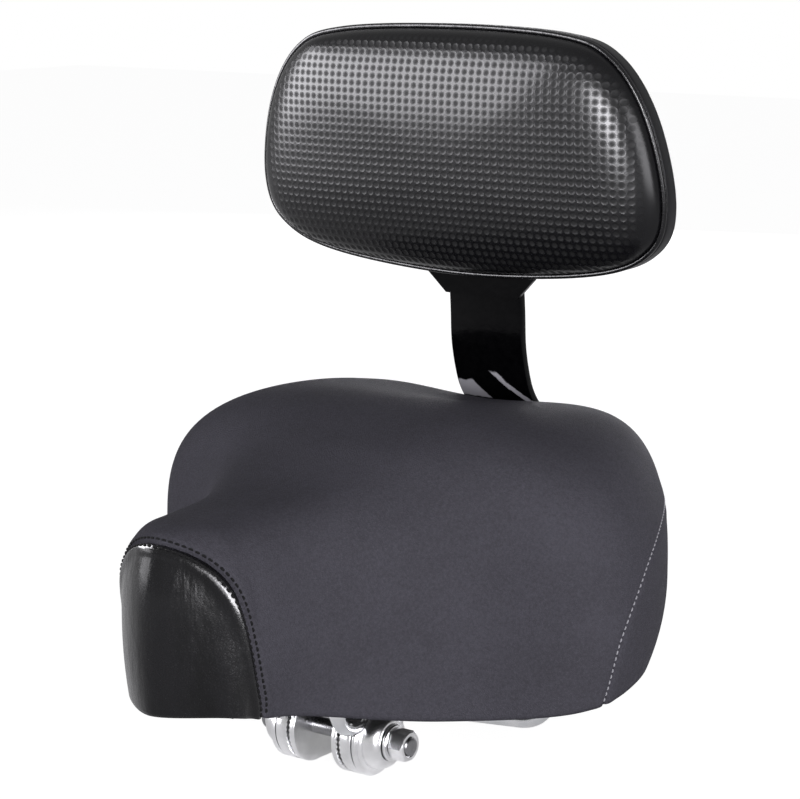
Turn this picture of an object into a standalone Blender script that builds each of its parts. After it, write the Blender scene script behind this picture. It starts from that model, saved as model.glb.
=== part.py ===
"""Wide bicycle saddle with a padded backrest on a bent flat post and a clamp for a round seat post."""

import math

import bmesh
import bpy
import numpy as np
from mathutils import Matrix, Vector

MM = 0.001

# Clearances between pieces that touch
GAP = 0.3
RUNNING_GAP = 0.4

# Saddle rim stations from nose tip to tail: half-width, y, skirt bottom, widest level, spine y
NOSE_TIP = (0.0, -148.4, 56.4, 89.2, -124.0)
NOSE_CORNER = (29.3, -130.7, 56.4, 89.2, -117.2)
NOSE_SIDE = (34.6, -112.0, 52.3, 89.2, -108.0)
NOSE_ROOT = (41.5, -75.5, 43.8, 90.2, -67.8)
FLARE = (73.8, -26.3, 35.3, 91.2, -32.8)
WING_FRONT = (123.5, 4.3, 40.2, 88.5, 12.2)
WING = (130.1, 44.1, 45.1, 85.8, 42.2)
WING_REAR = (108.3, 94.3, 47.4, 88.0, 64.2)
TAIL_CORNER = (72.0, 122.0, 56.9, 108.0, 74.2)
TAIL = (0.0, 125.0, 60.5, 113.8, 78.2)
FRONT_STATIONS = (NOSE_TIP, NOSE_CORNER, NOSE_SIDE, NOSE_ROOT, FLARE)
REAR_STATIONS = (WING_FRONT, WING, WING_REAR, TAIL_CORNER, TAIL)
RIM_STATIONS = FRONT_STATIONS + REAR_STATIONS
RIM_STEPS = 3

# Height of the saddle's top along the centre line: y, z
SPINE_STATIONS = ((-128.4, 135.7), (-62.8, 141.1), (-17.8, 155.4), (32.2, 165.1), (78.2, 155.6))
SECTION_ACROSS = 3.1
SECTION_UP = 3.0
CHEEK_RISE = 14.9
CHEEK_CENTRE = (110.0, 105.7)
CHEEK_SPREAD = 57.0
SKIRT_TUCK = 8.0
TUCK_LEAST_RADIUS = 20.0
SKIRT_ROWS = (1.0, 0.75, 0.5, 0.25)
TOP_ROWS = (0.0, 0.16, 0.32, 0.48, 0.66, 0.84, 1.0)

# Saddle layers
COVER_THICKNESS = 1.3
FOAM_INSET = COVER_THICKNESS + GAP
BASE_INSET = 13.5
BASE_WALL = 3.5
BASE_RAISED = 2.0
DECK_THICKNESS = 4.0
DECK_UNDER = 64.0
DECK_TOP = DECK_UNDER + DECK_THICKNESS
SPACER_INTO_DECK = DECK_THICKNESS - 1.0

# Sewn panels: the seams seen from the side as y, z
NOSE_SEAM_LOW = ((-103.5, 30.0), (-106.5, 55.0), (-112.2, 70.4), (-118.8, 95.0))
NOSE_SEAM_HIGH = ((-122.2, 107.0), (-126.8, 115.5), (-132.2, 122.0), (-138.2, 125.5), (-151.2, 126.5))
NOSE_SEAM = NOSE_SEAM_LOW + NOSE_SEAM_HIGH
TAIL_SEAM_LOW = ((18.0, 30.0), (18.5, 64.0), (22.8, 79.5), (31.8, 93.5))
TAIL_SEAM_HIGH = ((43.0, 104.6), (60.0, 114.0), (80.0, 118.0))
TAIL_SEAM = TAIL_SEAM_LOW + TAIL_SEAM_HIGH
SEAM_REACH = 220.0
SEAM_GAP = 0.3

# Seat-post clamp
POST_BORE_RADIUS = 11.15
BAND_WALL = 3.6
BAND_HEIGHT = 32.0
BAND_BASE = 0.0
LEG_INSET = 0.5
POST_Y = 8.8
SLIT_HALF = POST_BORE_RADIUS - 0.4
EAR_OUT = POST_BORE_RADIUS + BAND_WALL - 0.35
DISC_RADIUS = 17.2
BOLT_Y = -20.0
BOLT_Z = BAND_BASE + DISC_RADIUS
BOLT_RADIUS = 4.0
BOLT_HOLE_RADIUS = 4.3
BOLT_END = 44.8
BOLT_HEAD_RADIUS = 7.5
BOLT_HEAD_THICKNESS = 5.0
NUT_ACROSS_FLATS = 13.0
NUT_THICKNESS = 8.0
WASHER_RADIUS = 8.5
WASHER_THICKNESS = 1.6
RAIL_SPACING = 44.0
CUP_OUT = 33.2
CUP_FLANGE = 2.4
CUP_DOME_RADIUS = 13.6
CUP_DOME_STEP = 0.6
CUP_DOME_BULGE = 1.0
CUP_FACE_RADIUS = 9.4
CLAMP_SPLIT = 0.25
CUP_EDGE = 0.6
THREAD_CHAMFER = 0.8
NUT_CORNER_CUT = 0.9
NUT_ROUNDING_REACH = 0.1
NUT_ROUNDING_WIDER = 0.3

# Rails: half paths as x, y, z
RAIL_RADIUS = 3.5
RAIL_Z = 26.0
RAIL_X = RAIL_SPACING / 2
RAIL_NOSE_END = (11.5, -109.0, DECK_UNDER - 5.0)
RAIL_NOSE_BEND = (21.2, -49.2, 41.0)
RAIL_FLAT_FRONT = (RAIL_X, -42.2, RAIL_Z)
RAIL_FLAT_REAR = (RAIL_X, 4.5, RAIL_Z)
RAIL_SWEEP_END = (80.0, 26.0, RAIL_Z - 2.0)
RAIL_RISE = (87.5, 32.0, RAIL_Z + 8.0)
RAIL_REAR_END = (88.0, 33.0, DECK_UNDER - 6.0)
RAIL_BEND_REACH = 7.0
RAIL_BEND_SHARE = 0.42
RAIL_BEND_STEPS = (0.0, 0.33, 0.67, 1.0)

# Rail sockets under the base
NOSE_SOCKET_HALF = (16.8, 11.0)
NOSE_SOCKET_Y = -101.0
NOSE_SOCKET_BASE = DECK_UNDER - 15.5
REAR_SOCKET_HALF = (12.0, 17.0)
REAR_SOCKET_BASE = DECK_UNDER - 20.0
REAR_SOCKET_CENTRE = (88.0, 31.0)
SOCKET_BEVEL = 2.0
SOCKET_SCREW_OFFSET = 11.5
SCREW_HEAD_RADIUS = 4.0
SCREW_HEAD_THICKNESS = 2.6
SCREW_SHANK_RADIUS = 1.8
SCREW_SHANK_LENGTH = 9.0
SCREW_HOLE_RADIUS = SCREW_SHANK_RADIUS + GAP
SCREW_TIP_GAP = 0.5

# Backrest post: a flat bar bent in the plane of symmetry, path as y, z
BAR_HALF_WIDTH = 21.0
BAR_THICKNESS = 4.5
SPACER_LENGTH = 5.05
BAR_Z = DECK_UNDER - SPACER_LENGTH - GAP - BAR_THICKNESS / 2
BAR_FRONT_Y = 34.0
BAR_EDGE = 0.6
BEND_CENTRE = (115.0, 75.9)
BEND_RADIUS = BEND_CENTRE[1] - BAR_Z
REST_LEAN = 0.12
RIM_Y_AT = (78.8, 269.9)
SHELL_DEPTH = 10.0
PLATE_THICKNESS = 2.5
BAR_BEHIND_RIM = SHELL_DEPTH + GAP + PLATE_THICKNESS + GAP + BAR_THICKNESS / 2
BAR_TOP_Z = 306.0
BAR_STRAIGHT_Z = 205.0
BAR_SWEEP = ((134.6, 112.0), (132.2, 127.0), (126.8, 139.0), (120.0, 147.2), (114.2, 153.4), (109.8, 160.0))
BAR_SWEEP_UPPER = ((106.9, 167.5), (104.6, 176.0), (103.2, 185.0))
SPACER_RADIUS = 9.0
POST_BOLT_YS = (52.0, 90.0)
POST_BOLT_RADIUS = 3.0
POST_BOLT_HOLE = POST_BOLT_RADIUS + GAP
POST_BOLT_HEAD_RADIUS = 6.0
POST_BOLT_HEAD = 3.4

# Backrest outline seen from the front: half-width, z
REST_OUTLINE = (
    (0.0, 337.3),
    (62.0, 334.6),
    (90.0, 325.0),
    (108.3, 298.3),
    (115.9, 259.4),
    (106.0, 236.0),
    (72.5, 223.0),
    (0.0, 217.2),
)
REST_STEPS = 3
REST_MIDDLE_Z = 269.9
REST_WRAP = 4.0
REST_HALF_WIDTH = 110.0
REST_BULGE = 22.0
REST_SECTION = 2.35
PAD_ROWS = (0.0, 0.13, 0.28, 0.45, 0.64, 0.82, 1.0)
PAD_INSET = 2.6
SHELL_EDGE = 3.0
SHELL_LIP = 2.2
SHELL_FRONT_EDGE = 0.9
BOARD_THICKNESS = 5.0
PIPING_RADIUS = 1.5
PLATE_HALF = 31.0
PLATE_BOTTOM_Z = 204.0
PLATE_CHAMFER = 10.0
PLATE_TOP_Z = 300.0
PLATE_BOLT_X = 26.3
PLATE_BOLT_ZS = (236.0, 288.0)
BAR_BOLT_ZS = (248.0, 276.0)
PLATE_BOLT_RADIUS = 2.5
PLATE_BOLT_HOLE = PLATE_BOLT_RADIUS + GAP
PLATE_BOLT_HEAD_RADIUS = 4.4
PLATE_BOLT_HEAD = 2.8
PLATE_SCREW_GRIP = 3.6
BAR_BOLT_HEAD_RADIUS = 6.0

ROUND_SIDES = 16
DISC_SIDES = 24
WIRE_SIDES = 10
PIPING_SIDES = 6
SMALL_HOLE_RADIUS = 3.6


def clear_scene():
    for item in list(bpy.data.objects):
        bpy.data.objects.remove(item, do_unlink=True)


# Materials


def material(name, colour, metallic, roughness, coat=0.0):
    made = bpy.data.materials.new(name)
    made.use_nodes = True
    shader = made.node_tree.nodes["Principled BSDF"]
    shader.inputs["Base Color"].default_value = (*colour, 1.0)
    shader.inputs["Metallic"].default_value = metallic
    shader.inputs["Roughness"].default_value = roughness
    shader.inputs["Coat Weight"].default_value = coat
    made.diffuse_color = (*colour, 1.0)
    return made


# Mesh helpers


def catmull(points, steps, mirrored=False):
    """Smooth curve through the points, with this many steps between two of them.
    A mirrored curve meets its mirror image across x = 0 with no corner."""
    points = np.array(points, float)
    first, last = 2 * points[0] - points[1], 2 * points[-1] - points[-2]
    if mirrored:
        first, last = points[1].copy(), points[-2].copy()
        first[0], last[0] = -first[0], -last[0]
    points = np.vstack([[first], points, [last]])
    rows = []
    for i in range(1, len(points) - 2):
        a, b, c, d = points[i - 1 : i + 3]
        for t in np.arange(steps) / steps:
            bend = (2 * a - 5 * b + 4 * c - d) * t**2 + (3 * b - a - 3 * c + d) * t**3
            rows.append(0.5 * (2 * b + (c - a) * t + bend))
    rows.append(points[-2])
    return np.array(rows)


def node_from(bm, name, look, smooth=True):
    bmesh.ops.recalc_face_normals(bm, faces=bm.faces)
    if bm.calc_volume(signed=True) < 0:
        bmesh.ops.reverse_faces(bm, faces=bm.faces)
    mesh = bpy.data.meshes.new(name)
    bm.to_mesh(mesh)
    bm.free()
    item = bpy.data.objects.new(name, mesh)
    bpy.context.scene.collection.objects.link(item)
    mesh.materials.append(look)
    mesh.polygons.foreach_set("use_smooth", [smooth] * len(mesh.polygons))
    return item


def mirrored_body(rows, name, look, returns_at=1000):
    """Closed body from rows of half rings; the first and last rows lie on the plane of symmetry.
    From the row where a skin returns on its inner side, the triangles lie as on its outer side, and
    none of them lies flat on the plane of symmetry."""
    bm = bmesh.new()
    for side in (1, -1):
        grid = [[bm.verts.new((side * p[0] * MM, p[1] * MM, p[2] * MM)) for p in row] for row in rows]
        for level, (low, high) in enumerate(zip(grid, grid[1:])):
            for i in range(len(low) - 1):
                corners = [low[i], low[i + 1], high[i + 1], high[i]]
                if (level >= returns_at) != (i >= len(low) // 2):
                    corners = corners[1:] + corners[:1]
                for triangle in (corners[:3], [corners[0], *corners[2:]]):
                    bm.faces.new(triangle if side > 0 else triangle[::-1])
    bmesh.ops.remove_doubles(bm, verts=bm.verts, dist=1e-6)
    return node_from(bm, name, look)


def prism(profile, depth, name, look=None, smooth=False):
    """Closed prism of a profile in the first two axes, running along the third by depth each way."""
    bm = bmesh.new()
    rings = []
    for level in (-depth, depth):
        rings.append([bm.verts.new((p[0] * MM, p[1] * MM, level * MM)) for p in profile])
    bm.faces.new(rings[0][::-1])
    bm.faces.new(rings[1])
    count = len(profile)
    for i in range(count):
        j = (i + 1) % count
        bm.faces.new([rings[0][i], rings[0][j], rings[1][j], rings[1][i]])
    return node_from(bm, name, look or plain_look(), smooth)


def plain_look():
    return bpy.data.materials.get("cutter") or material("cutter", (0.5, 0.5, 0.5), 0.0, 0.5)


def round_profile(radius, sides=ROUND_SIDES):
    angles = [2 * math.pi * i / sides for i in range(sides)]
    return [(radius * math.cos(angle), radius * math.sin(angle)) for angle in angles]


def turned(profile, name, look, sides=ROUND_SIDES):
    """Solid of revolution about local Z from (radius, z) points whose first and last radius are zero."""
    bm = bmesh.new()
    ends = [bm.verts.new((0, 0, profile[i][1] * MM)) for i in (0, -1)]
    rings = []
    for radius, level in profile[1:-1]:
        rings.append([bm.verts.new((x * MM, y * MM, level * MM)) for x, y in round_profile(radius, sides)])
    for i in range(sides):
        j = (i + 1) % sides
        bm.faces.new([ends[0], rings[0][j], rings[0][i]])
        bm.faces.new([ends[1], rings[-1][i], rings[-1][j]])
        for low, high in zip(rings, rings[1:]):
            bm.faces.new([low[i], low[j], high[j], high[i]])
    return node_from(bm, name, look)


def swept(path, radius, name, look, sides=WIRE_SIDES):
    """Round wire along the path, with flat ends."""
    path = np.array(path, float)
    bm = bmesh.new()
    steps = np.diff(path, axis=0)
    steps /= np.linalg.norm(steps, axis=1)[:, None]
    tangents = np.vstack([steps[:1], steps[:-1] + steps[1:], steps[-1:]])
    side = np.cross(tangents[0], (0.0, 0.0, 1.0))
    rings = []
    for point, tangent in zip(path, tangents):
        tangent = tangent / np.linalg.norm(tangent)
        side = side - tangent * np.dot(side, tangent)
        side = side / np.linalg.norm(side)
        up = np.cross(tangent, side)
        ring = []
        for x, y in round_profile(radius, sides):
            ring.append(bm.verts.new(Vector((point + side * x + up * y) * MM)))
        rings.append(ring)
    for low, high in zip(rings, rings[1:]):
        for i in range(sides):
            j = (i + 1) % sides
            bm.faces.new([low[i], low[j], high[j], high[i]])
    bm.faces.new(rings[0][::-1])
    bm.faces.new(rings[-1])
    return node_from(bm, name, look)


def place(item, x, y, z, turn=(0.0, 0.0, 0.0)):
    item.location = (x * MM, y * MM, z * MM)
    item.rotation_euler = [math.radians(angle) for angle in turn]
    return item


def freeze(item):
    """Applies the item's placing and modifiers, so that it can be a neighbour's exact cutter."""
    bpy.context.view_layer.update()
    graph = bpy.context.evaluated_depsgraph_get()
    mesh = bpy.data.meshes.new_from_object(item.evaluated_get(graph))
    mesh.transform(item.matrix_world)
    item.modifiers.clear()
    item.data = mesh
    item.matrix_world = Matrix.Identity(4)
    return item


def boolean(item, cutter, operation="DIFFERENCE"):
    """Adds the operation and hides its second body."""
    step = item.modifiers.new(operation.lower(), "BOOLEAN")
    step.operation = operation
    step.solver = "EXACT"
    step.object = cutter
    cutter.hide_render = True
    cutter.display_type = "WIRE"
    return item


def drill(item, radius, length, x, y, z, turn=(0.0, 0.0, 0.0)):
    sides = WIRE_SIDES if radius < SMALL_HOLE_RADIUS else ROUND_SIDES
    tool = prism(round_profile(radius, sides), length / 2, "drill")
    return boolean(item, place(tool, x, y, z, turn))


# Saddle surface


def rim(inset):
    """Rim points of the right half moved inwards by the inset: x, y, bottom, widest level and spine y."""
    curve = catmull(RIM_STATIONS, RIM_STEPS, True)
    x, y, bottom, widest, spine = curve.T.copy()
    x[0] = x[-1] = 0.0
    full_x = np.concatenate([[-x[1]], x, [-x[-2]]])
    full_y = np.concatenate([[y[1]], y, [y[-2]]])
    along = np.stack([full_x[2:] - full_x[:-2], full_y[2:] - full_y[:-2]])
    along /= np.hypot(*along)
    x = x - along[1] * inset
    y = y + along[0] * inset
    x[0] = x[-1] = 0.0
    return x, y, bottom, widest, spine


def spine_height(y):
    curve = catmull(SPINE_STATIONS, RIM_STEPS * 3)
    return np.interp(y, curve[:, 0], curve[:, 1])


def skirt_row(down):
    """Half ring between the widest level (down 0) and the skirt's bottom edge (down 1)."""
    x, y, bottom, widest, spine = rim(0.0)
    reach = np.maximum(np.hypot(x, y - spine), TUCK_LEAST_RADIUS)
    shrink = 1 - SKIRT_TUCK * down**2 / reach
    return np.stack([x * shrink, spine + (y - spine) * shrink, widest + (bottom - widest) * down], -1)


def top_row(up):
    """Half ring between the widest level (up 0) and the spine (up 1)."""
    x, y, _, widest, spine = rim(0.0)
    across = 0.0 if up == 1 else math.cos(up * math.pi / 2) ** (2 / SECTION_ACROSS)
    rise = math.sin(up * math.pi / 2) ** (2 / SECTION_UP)
    row_x = x * across
    row_y = spine + (y - spine) * across
    away = (row_x - CHEEK_CENTRE[0]) ** 2 + (row_y - CHEEK_CENTRE[1]) ** 2
    cheek = CHEEK_RISE * np.exp(-away / CHEEK_SPREAD**2) * rise
    return np.stack([row_x, row_y, widest + (spine_height(spine) - widest) * rise + cheek], -1)


def surface_rows(depth):
    """Rows from the spine down to the skirt's bottom edge, this deep under the saddle's surface."""
    rows = [top_row(up) for up in reversed(TOP_ROWS)]
    grid = np.array(rows + [skirt_row(down) for down in reversed(SKIRT_ROWS)])
    along = np.gradient(grid, axis=1)
    down = np.gradient(grid, axis=0)
    along[1:, 0] = (1.0, 0.0, 0.0)
    along[1:, -1] = (-1.0, 0.0, 0.0)
    down[0] = (1.0, 0.0, 0.0)
    inward = np.cross(along, down)
    grid = grid + depth * inward / np.linalg.norm(inward, axis=-1, keepdims=True)
    grid[0, :, 0] = 0.0
    grid[:, (0, -1), 0] = 0.0
    return list(grid)


def flat_row(inset, level):
    x, y, _, _, _ = rim(inset)
    return np.stack([x, y, np.full_like(x, level)], -1)


def edge_row(inset, raised):
    x, y, bottom, _, _ = rim(inset)
    return np.stack([x, y, bottom + raised], -1)


def centre_row(level):
    _, _, _, _, spine = rim(0.0)
    return np.stack([np.zeros_like(spine), spine, np.full_like(spine, level)], -1)


def half_way(row, centre):
    return (row + centre) / 2


def cover_skin(name, look):
    outer = surface_rows(0.0)
    return mirrored_body(outer + surface_rows(COVER_THICKNESS)[::-1], name, look, len(outer))


def side_prism(seam, closing, name):
    """Cutter that runs across the saddle and keeps what lies on one side of a seam."""
    tool = prism([*seam, *closing], SEAM_REACH, name)
    tool.matrix_world = Matrix(((0, 0, 1, 0), (1, 0, 0, 0), (0, 1, 0, 0), (0, 0, 0, 1)))
    return freeze(tool)


def shifted(seam, step):
    """The seam moved sideways by the step, so that two panels leave a gap between them."""
    seam = np.array(seam, float)
    along = np.gradient(seam, axis=0)
    along /= np.hypot(*along.T)[:, None]
    return [tuple(p) for p in seam + np.stack([-along[:, 1], along[:, 0]], -1) * step]


def nose_region(step, name):
    seam = shifted(NOSE_SEAM, step)
    closing = [(-SEAM_REACH, seam[-1][1] + 30), (-SEAM_REACH, seam[0][1])]
    return side_prism(seam, closing, name)


def tail_region(step, name):
    seam = shifted(TAIL_SEAM, step)
    closing = [(SEAM_REACH, seam[-1][1] + 4), (SEAM_REACH, seam[0][1])]
    return side_prism(seam, closing, name)


def seat_covers(matte, gloss):
    cover = cover_skin("seat_cover", matte)
    boolean(cover, nose_region(-SEAM_GAP / 2, "nose_cut"))
    boolean(cover, tail_region(SEAM_GAP / 2, "tail_cut"))
    nose = cover_skin("nose_panel", gloss)
    boolean(nose, nose_region(SEAM_GAP / 2, "nose_keep"), "INTERSECT")
    tail = cover_skin("rear_panel", matte)
    boolean(tail, tail_region(-SEAM_GAP / 2, "tail_keep"), "INTERSECT")


def seat_foam(look):
    deck = flat_row(BASE_INSET - GAP, DECK_TOP + GAP)
    rows = surface_rows(FOAM_INSET)
    under_from = len(rows)
    rows.append(edge_row(BASE_INSET - GAP, BASE_RAISED))
    rows += [deck, half_way(deck, centre_row(DECK_TOP + GAP)), centre_row(DECK_TOP + GAP)]
    mirrored_body(rows, "seat_foam", look, under_from)


def seat_base(look):
    top = flat_row(BASE_INSET, DECK_TOP)
    under = flat_row(BASE_INSET + BASE_WALL, DECK_UNDER)
    rows = [
        centre_row(DECK_TOP),
        half_way(top, centre_row(DECK_TOP)),
        top,
        edge_row(BASE_INSET, BASE_RAISED),
        edge_row(BASE_INSET + BASE_WALL, BASE_RAISED),
        under,
        half_way(under, centre_row(DECK_UNDER)),
        centre_row(DECK_UNDER),
    ]
    base = mirrored_body(rows, "seat_base", look, len(rows) // 2)
    bar_top = BAR_Z + BAR_THICKNESS / 2 + GAP
    for y in POST_BOLT_YS:
        spacer_top = DECK_UNDER + SPACER_INTO_DECK
        middle = (bar_top + spacer_top) / 2
        spacer = prism(round_profile(SPACER_RADIUS), spacer_top - middle, "spacer")
        boolean(base, place(spacer, 0, y, middle), "UNION")
    for y in POST_BOLT_YS:
        drill(base, POST_BOLT_HOLE, 30.0, 0, y, DECK_UNDER)
    return base


# Seat-post clamp


def clamp_band(look):
    radius = POST_BORE_RADIUS + BAND_WALL
    middle = BAND_BASE + BAND_HEIGHT / 2
    band = prism(round_profile(radius, DISC_SIDES), BAND_HEIGHT / 2, "clamp_band", look, True)
    place(band, 0, POST_Y, middle)
    freeze(band)
    corners = [(-EAR_OUT, BOLT_Y), (EAR_OUT, BOLT_Y), (EAR_OUT, POST_Y), (-EAR_OUT, POST_Y)]
    legs = prism(corners, BAND_HEIGHT / 2 - LEG_INSET, "legs")
    boolean(band, place(legs, 0, 0, middle), "UNION")
    ears = prism(round_profile(DISC_RADIUS, DISC_SIDES), EAR_OUT, "ears")
    boolean(band, place(ears, 0, BOLT_Y, BOLT_Z, (0, 90, 0)), "UNION")
    drill(band, POST_BORE_RADIUS, 4 * BAND_HEIGHT, 0, POST_Y, middle)
    front = BOLT_Y - DISC_RADIUS - 1
    corners = [(-SLIT_HALF, front), (SLIT_HALF, front), (SLIT_HALF, POST_Y), (-SLIT_HALF, POST_Y)]
    slit = prism(corners, 2 * BAND_HEIGHT, "slit")
    boolean(band, slit)
    drill(band, BOLT_HOLE_RADIUS, 4 * EAR_OUT, 0, BOLT_Y, BOLT_Z, (0, 90, 0))
    return band


def clamp_bolt(look):
    seat = CUP_OUT + GAP + WASHER_THICKNESS + GAP
    profile = [
        (0, -seat - BOLT_HEAD_THICKNESS),
        (BOLT_HEAD_RADIUS * 0.6, -seat - BOLT_HEAD_THICKNESS),
        (BOLT_HEAD_RADIUS, -seat - BOLT_HEAD_THICKNESS * 0.45),
        (BOLT_HEAD_RADIUS, -seat),
        (BOLT_RADIUS, -seat),
        (BOLT_RADIUS, BOLT_END - THREAD_CHAMFER),
        (BOLT_RADIUS - THREAD_CHAMFER, BOLT_END),
        (0, BOLT_END),
    ]
    bolt = turned(profile, "clamp_bolt", look)
    return place(bolt, 0, BOLT_Y, BOLT_Z, (0, 90, 0))


def clamp_nut(look):
    seat = CUP_OUT + 2 * GAP + WASHER_THICKNESS
    radius = NUT_ACROSS_FLATS / math.sqrt(3)
    nut = prism(round_profile(radius, 6), NUT_THICKNESS / 2, "clamp_nut", look)
    place(nut, seat + NUT_THICKNESS / 2, BOLT_Y, BOLT_Z, (0, 90, 0))
    freeze(nut)
    end = NUT_THICKNESS / 2 + NUT_ROUNDING_REACH
    shoulder = NUT_THICKNESS / 2 - NUT_CORNER_CUT
    wide = radius + NUT_ROUNDING_WIDER
    narrow = radius - NUT_CORNER_CUT
    rounding = [(0, -end), (narrow, -end), (wide, -shoulder), (wide, shoulder), (narrow, end), (0, end)]
    tool = turned(rounding, "nut_rounding", plain_look())
    boolean(nut, place(tool, seat + NUT_THICKNESS / 2, BOLT_Y, BOLT_Z, (0, 90, 0)), "INTERSECT")
    return drill(nut, BOLT_RADIUS + GAP, 4 * NUT_THICKNESS, seat, BOLT_Y, BOLT_Z, (0, 90, 0))


def clamp_washers(look):
    middle = CUP_OUT + GAP + WASHER_THICKNESS / 2
    for side, x in (("left", -middle), ("right", middle)):
        washer = prism(round_profile(WASHER_RADIUS), WASHER_THICKNESS / 2, "washer_" + side, look, True)
        place(washer, x, BOLT_Y, BOLT_Z, (0, 90, 0))
        freeze(washer)
        drill(washer, BOLT_HOLE_RADIUS, 20.0, x, BOLT_Y, BOLT_Z, (0, 90, 0))


def cup(name, look, inner, outer, domed, rail_cutter, side):
    """Disc across the bolt, grooved for the rail; a domed one carries a boss on its flange."""
    profile = [(0, inner), (DISC_RADIUS - CUP_EDGE, inner), (DISC_RADIUS, inner + CUP_EDGE)]
    top = inner + CUP_FLANGE if domed else outer
    profile += [(DISC_RADIUS, top - CUP_EDGE), (DISC_RADIUS - CUP_EDGE, top)]
    if domed:
        middle = (top + outer) / 2
        profile += [(CUP_DOME_RADIUS, top + CUP_DOME_STEP), (CUP_DOME_RADIUS - CUP_DOME_BULGE, middle)]
        profile.append((CUP_FACE_RADIUS, outer))
    profile.append((0, outer))
    disc = turned(profile, name, look, DISC_SIDES)
    place(disc, 0, BOLT_Y, BOLT_Z, (0, 90 * side, 0))
    freeze(disc)
    boolean(disc, rail_cutter)
    return drill(disc, BOLT_HOLE_RADIUS, 200.0, 0, BOLT_Y, BOLT_Z, (0, 90, 0))


def clamp_cups(look):
    for name, side in (("left", -1), ("right", 1)):
        straight = [(side * RAIL_X, y, RAIL_Z) for y in (-60, -50, 20, 30)]
        groove = swept(straight, RAIL_RADIUS + GAP, "groove_" + name, plain_look())
        cup("inner_cup_" + name, look, EAR_OUT + RUNNING_GAP, RAIL_X - CLAMP_SPLIT, False, groove, side)
        cup("outer_cup_" + name, look, RAIL_X + CLAMP_SPLIT, CUP_OUT, True, groove, side)


# Rails and sockets


def rail_path(side):
    """Centre line of one rail, its corners rounded."""
    corners = [
        RAIL_NOSE_END,
        RAIL_NOSE_BEND,
        RAIL_FLAT_FRONT,
        RAIL_FLAT_REAR,
        RAIL_SWEEP_END,
        RAIL_RISE,
        RAIL_REAR_END,
    ]
    corners = np.array(corners, float)
    path = [corners[0]]
    for before, corner, after in zip(corners, corners[1:], corners[2:]):
        reach_in = min(np.linalg.norm(before - corner) * RAIL_BEND_SHARE, RAIL_BEND_REACH)
        reach_out = min(np.linalg.norm(after - corner) * RAIL_BEND_SHARE, RAIL_BEND_REACH)
        start = corner + (before - corner) / np.linalg.norm(before - corner) * reach_in
        end = corner + (after - corner) / np.linalg.norm(after - corner) * reach_out
        for t in RAIL_BEND_STEPS:
            path.append(start * (1 - t) ** 2 + corner * 2 * t * (1 - t) + end * t**2)
    path.append(corners[-1])
    return [(side * p[0], p[1], p[2]) for p in path]


def rails(look):
    for name, side in (("left", -1), ("right", 1)):
        swept(rail_path(side), RAIL_RADIUS, "rail_" + name, look)


def rail_hole(item, side):
    path = rail_path(side)
    first = np.array(path[0]) - (np.array(path[1]) - np.array(path[0])) * 0.015
    last = np.array(path[-1]) + np.array((0, 0, GAP))
    hole = [tuple(first), *path[1:-1], tuple(last)]
    return boolean(item, swept(hole, RAIL_RADIUS + GAP, item.name + "_hole", plain_look()))


def block(half_x, half_y, low, high, name, look):
    corners = [(-half_x, -half_y), (half_x, -half_y), (half_x, half_y), (-half_x, half_y)]
    item = prism(corners, (high - low) / 2, name, look)
    edges = item.modifiers.new("bevel", "BEVEL")
    edges.width = SOCKET_BEVEL * MM
    edges.segments = 2
    return item


def sockets(look):
    top = DECK_UNDER - GAP
    nose = block(*NOSE_SOCKET_HALF, NOSE_SOCKET_BASE, top, "nose_socket", look)
    place(nose, 0, NOSE_SOCKET_Y, (NOSE_SOCKET_BASE + top) / 2)
    freeze(nose)
    rail_hole(nose, 1)
    rail_hole(nose, -1)
    for name, side in (("left", -1), ("right", 1)):
        x = side * REAR_SOCKET_CENTRE[0]
        socket = block(*REAR_SOCKET_HALF, REAR_SOCKET_BASE, top, "rear_socket_" + name, look)
        place(socket, x, REAR_SOCKET_CENTRE[1], (REAR_SOCKET_BASE + top) / 2)
        freeze(socket)
        rail_hole(socket, side)
        for step, place_name in ((-SOCKET_SCREW_OFFSET, "front"), (SOCKET_SCREW_OFFSET, "rear")):
            y = REAR_SOCKET_CENTRE[1] + step
            drill(socket, SCREW_HOLE_RADIUS, 2 * SCREW_SHANK_LENGTH + 1, x, y, REAR_SOCKET_BASE)
            socket_screw("socket_screw_" + name + "_" + place_name, x, y)


def socket_screw(name, x, y):
    profile = [
        (0, -GAP - SCREW_HEAD_THICKNESS),
        (SCREW_HEAD_RADIUS * 0.6, -GAP - SCREW_HEAD_THICKNESS),
        (SCREW_HEAD_RADIUS, -GAP - SCREW_HEAD_THICKNESS * 0.4),
        (SCREW_HEAD_RADIUS, -GAP),
        (SCREW_SHANK_RADIUS, -GAP),
        (SCREW_SHANK_RADIUS, SCREW_SHANK_LENGTH - SCREW_TIP_GAP),
        (0, SCREW_SHANK_LENGTH - SCREW_TIP_GAP),
    ]
    place(turned(profile, name, bpy.data.materials["zinc"], WIRE_SIDES), x, y, REAR_SOCKET_BASE)


# Backrest post


def bar_centre(z):
    """Distance back of the bar's centre line on its straight leaning upper part."""
    return RIM_Y_AT[0] - REST_LEAN * (z - RIM_Y_AT[1]) + BAR_BEHIND_RIM / math.cos(math.atan(REST_LEAN))


def bar_path():
    path = [(BAR_FRONT_Y, BAR_Z), (BEND_CENTRE[0], BAR_Z)]
    for angle in range(-75, 1, 15):
        turn = math.radians(angle)
        path.append(
            (BEND_CENTRE[0] + BEND_RADIUS * math.cos(turn), BEND_CENTRE[1] + BEND_RADIUS * math.sin(turn))
        )
    path += [*BAR_SWEEP, *BAR_SWEEP_UPPER]
    for z in (BAR_STRAIGHT_Z, BAR_TOP_Z):
        path.append((bar_centre(z), z))
    return np.array(path)


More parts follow.
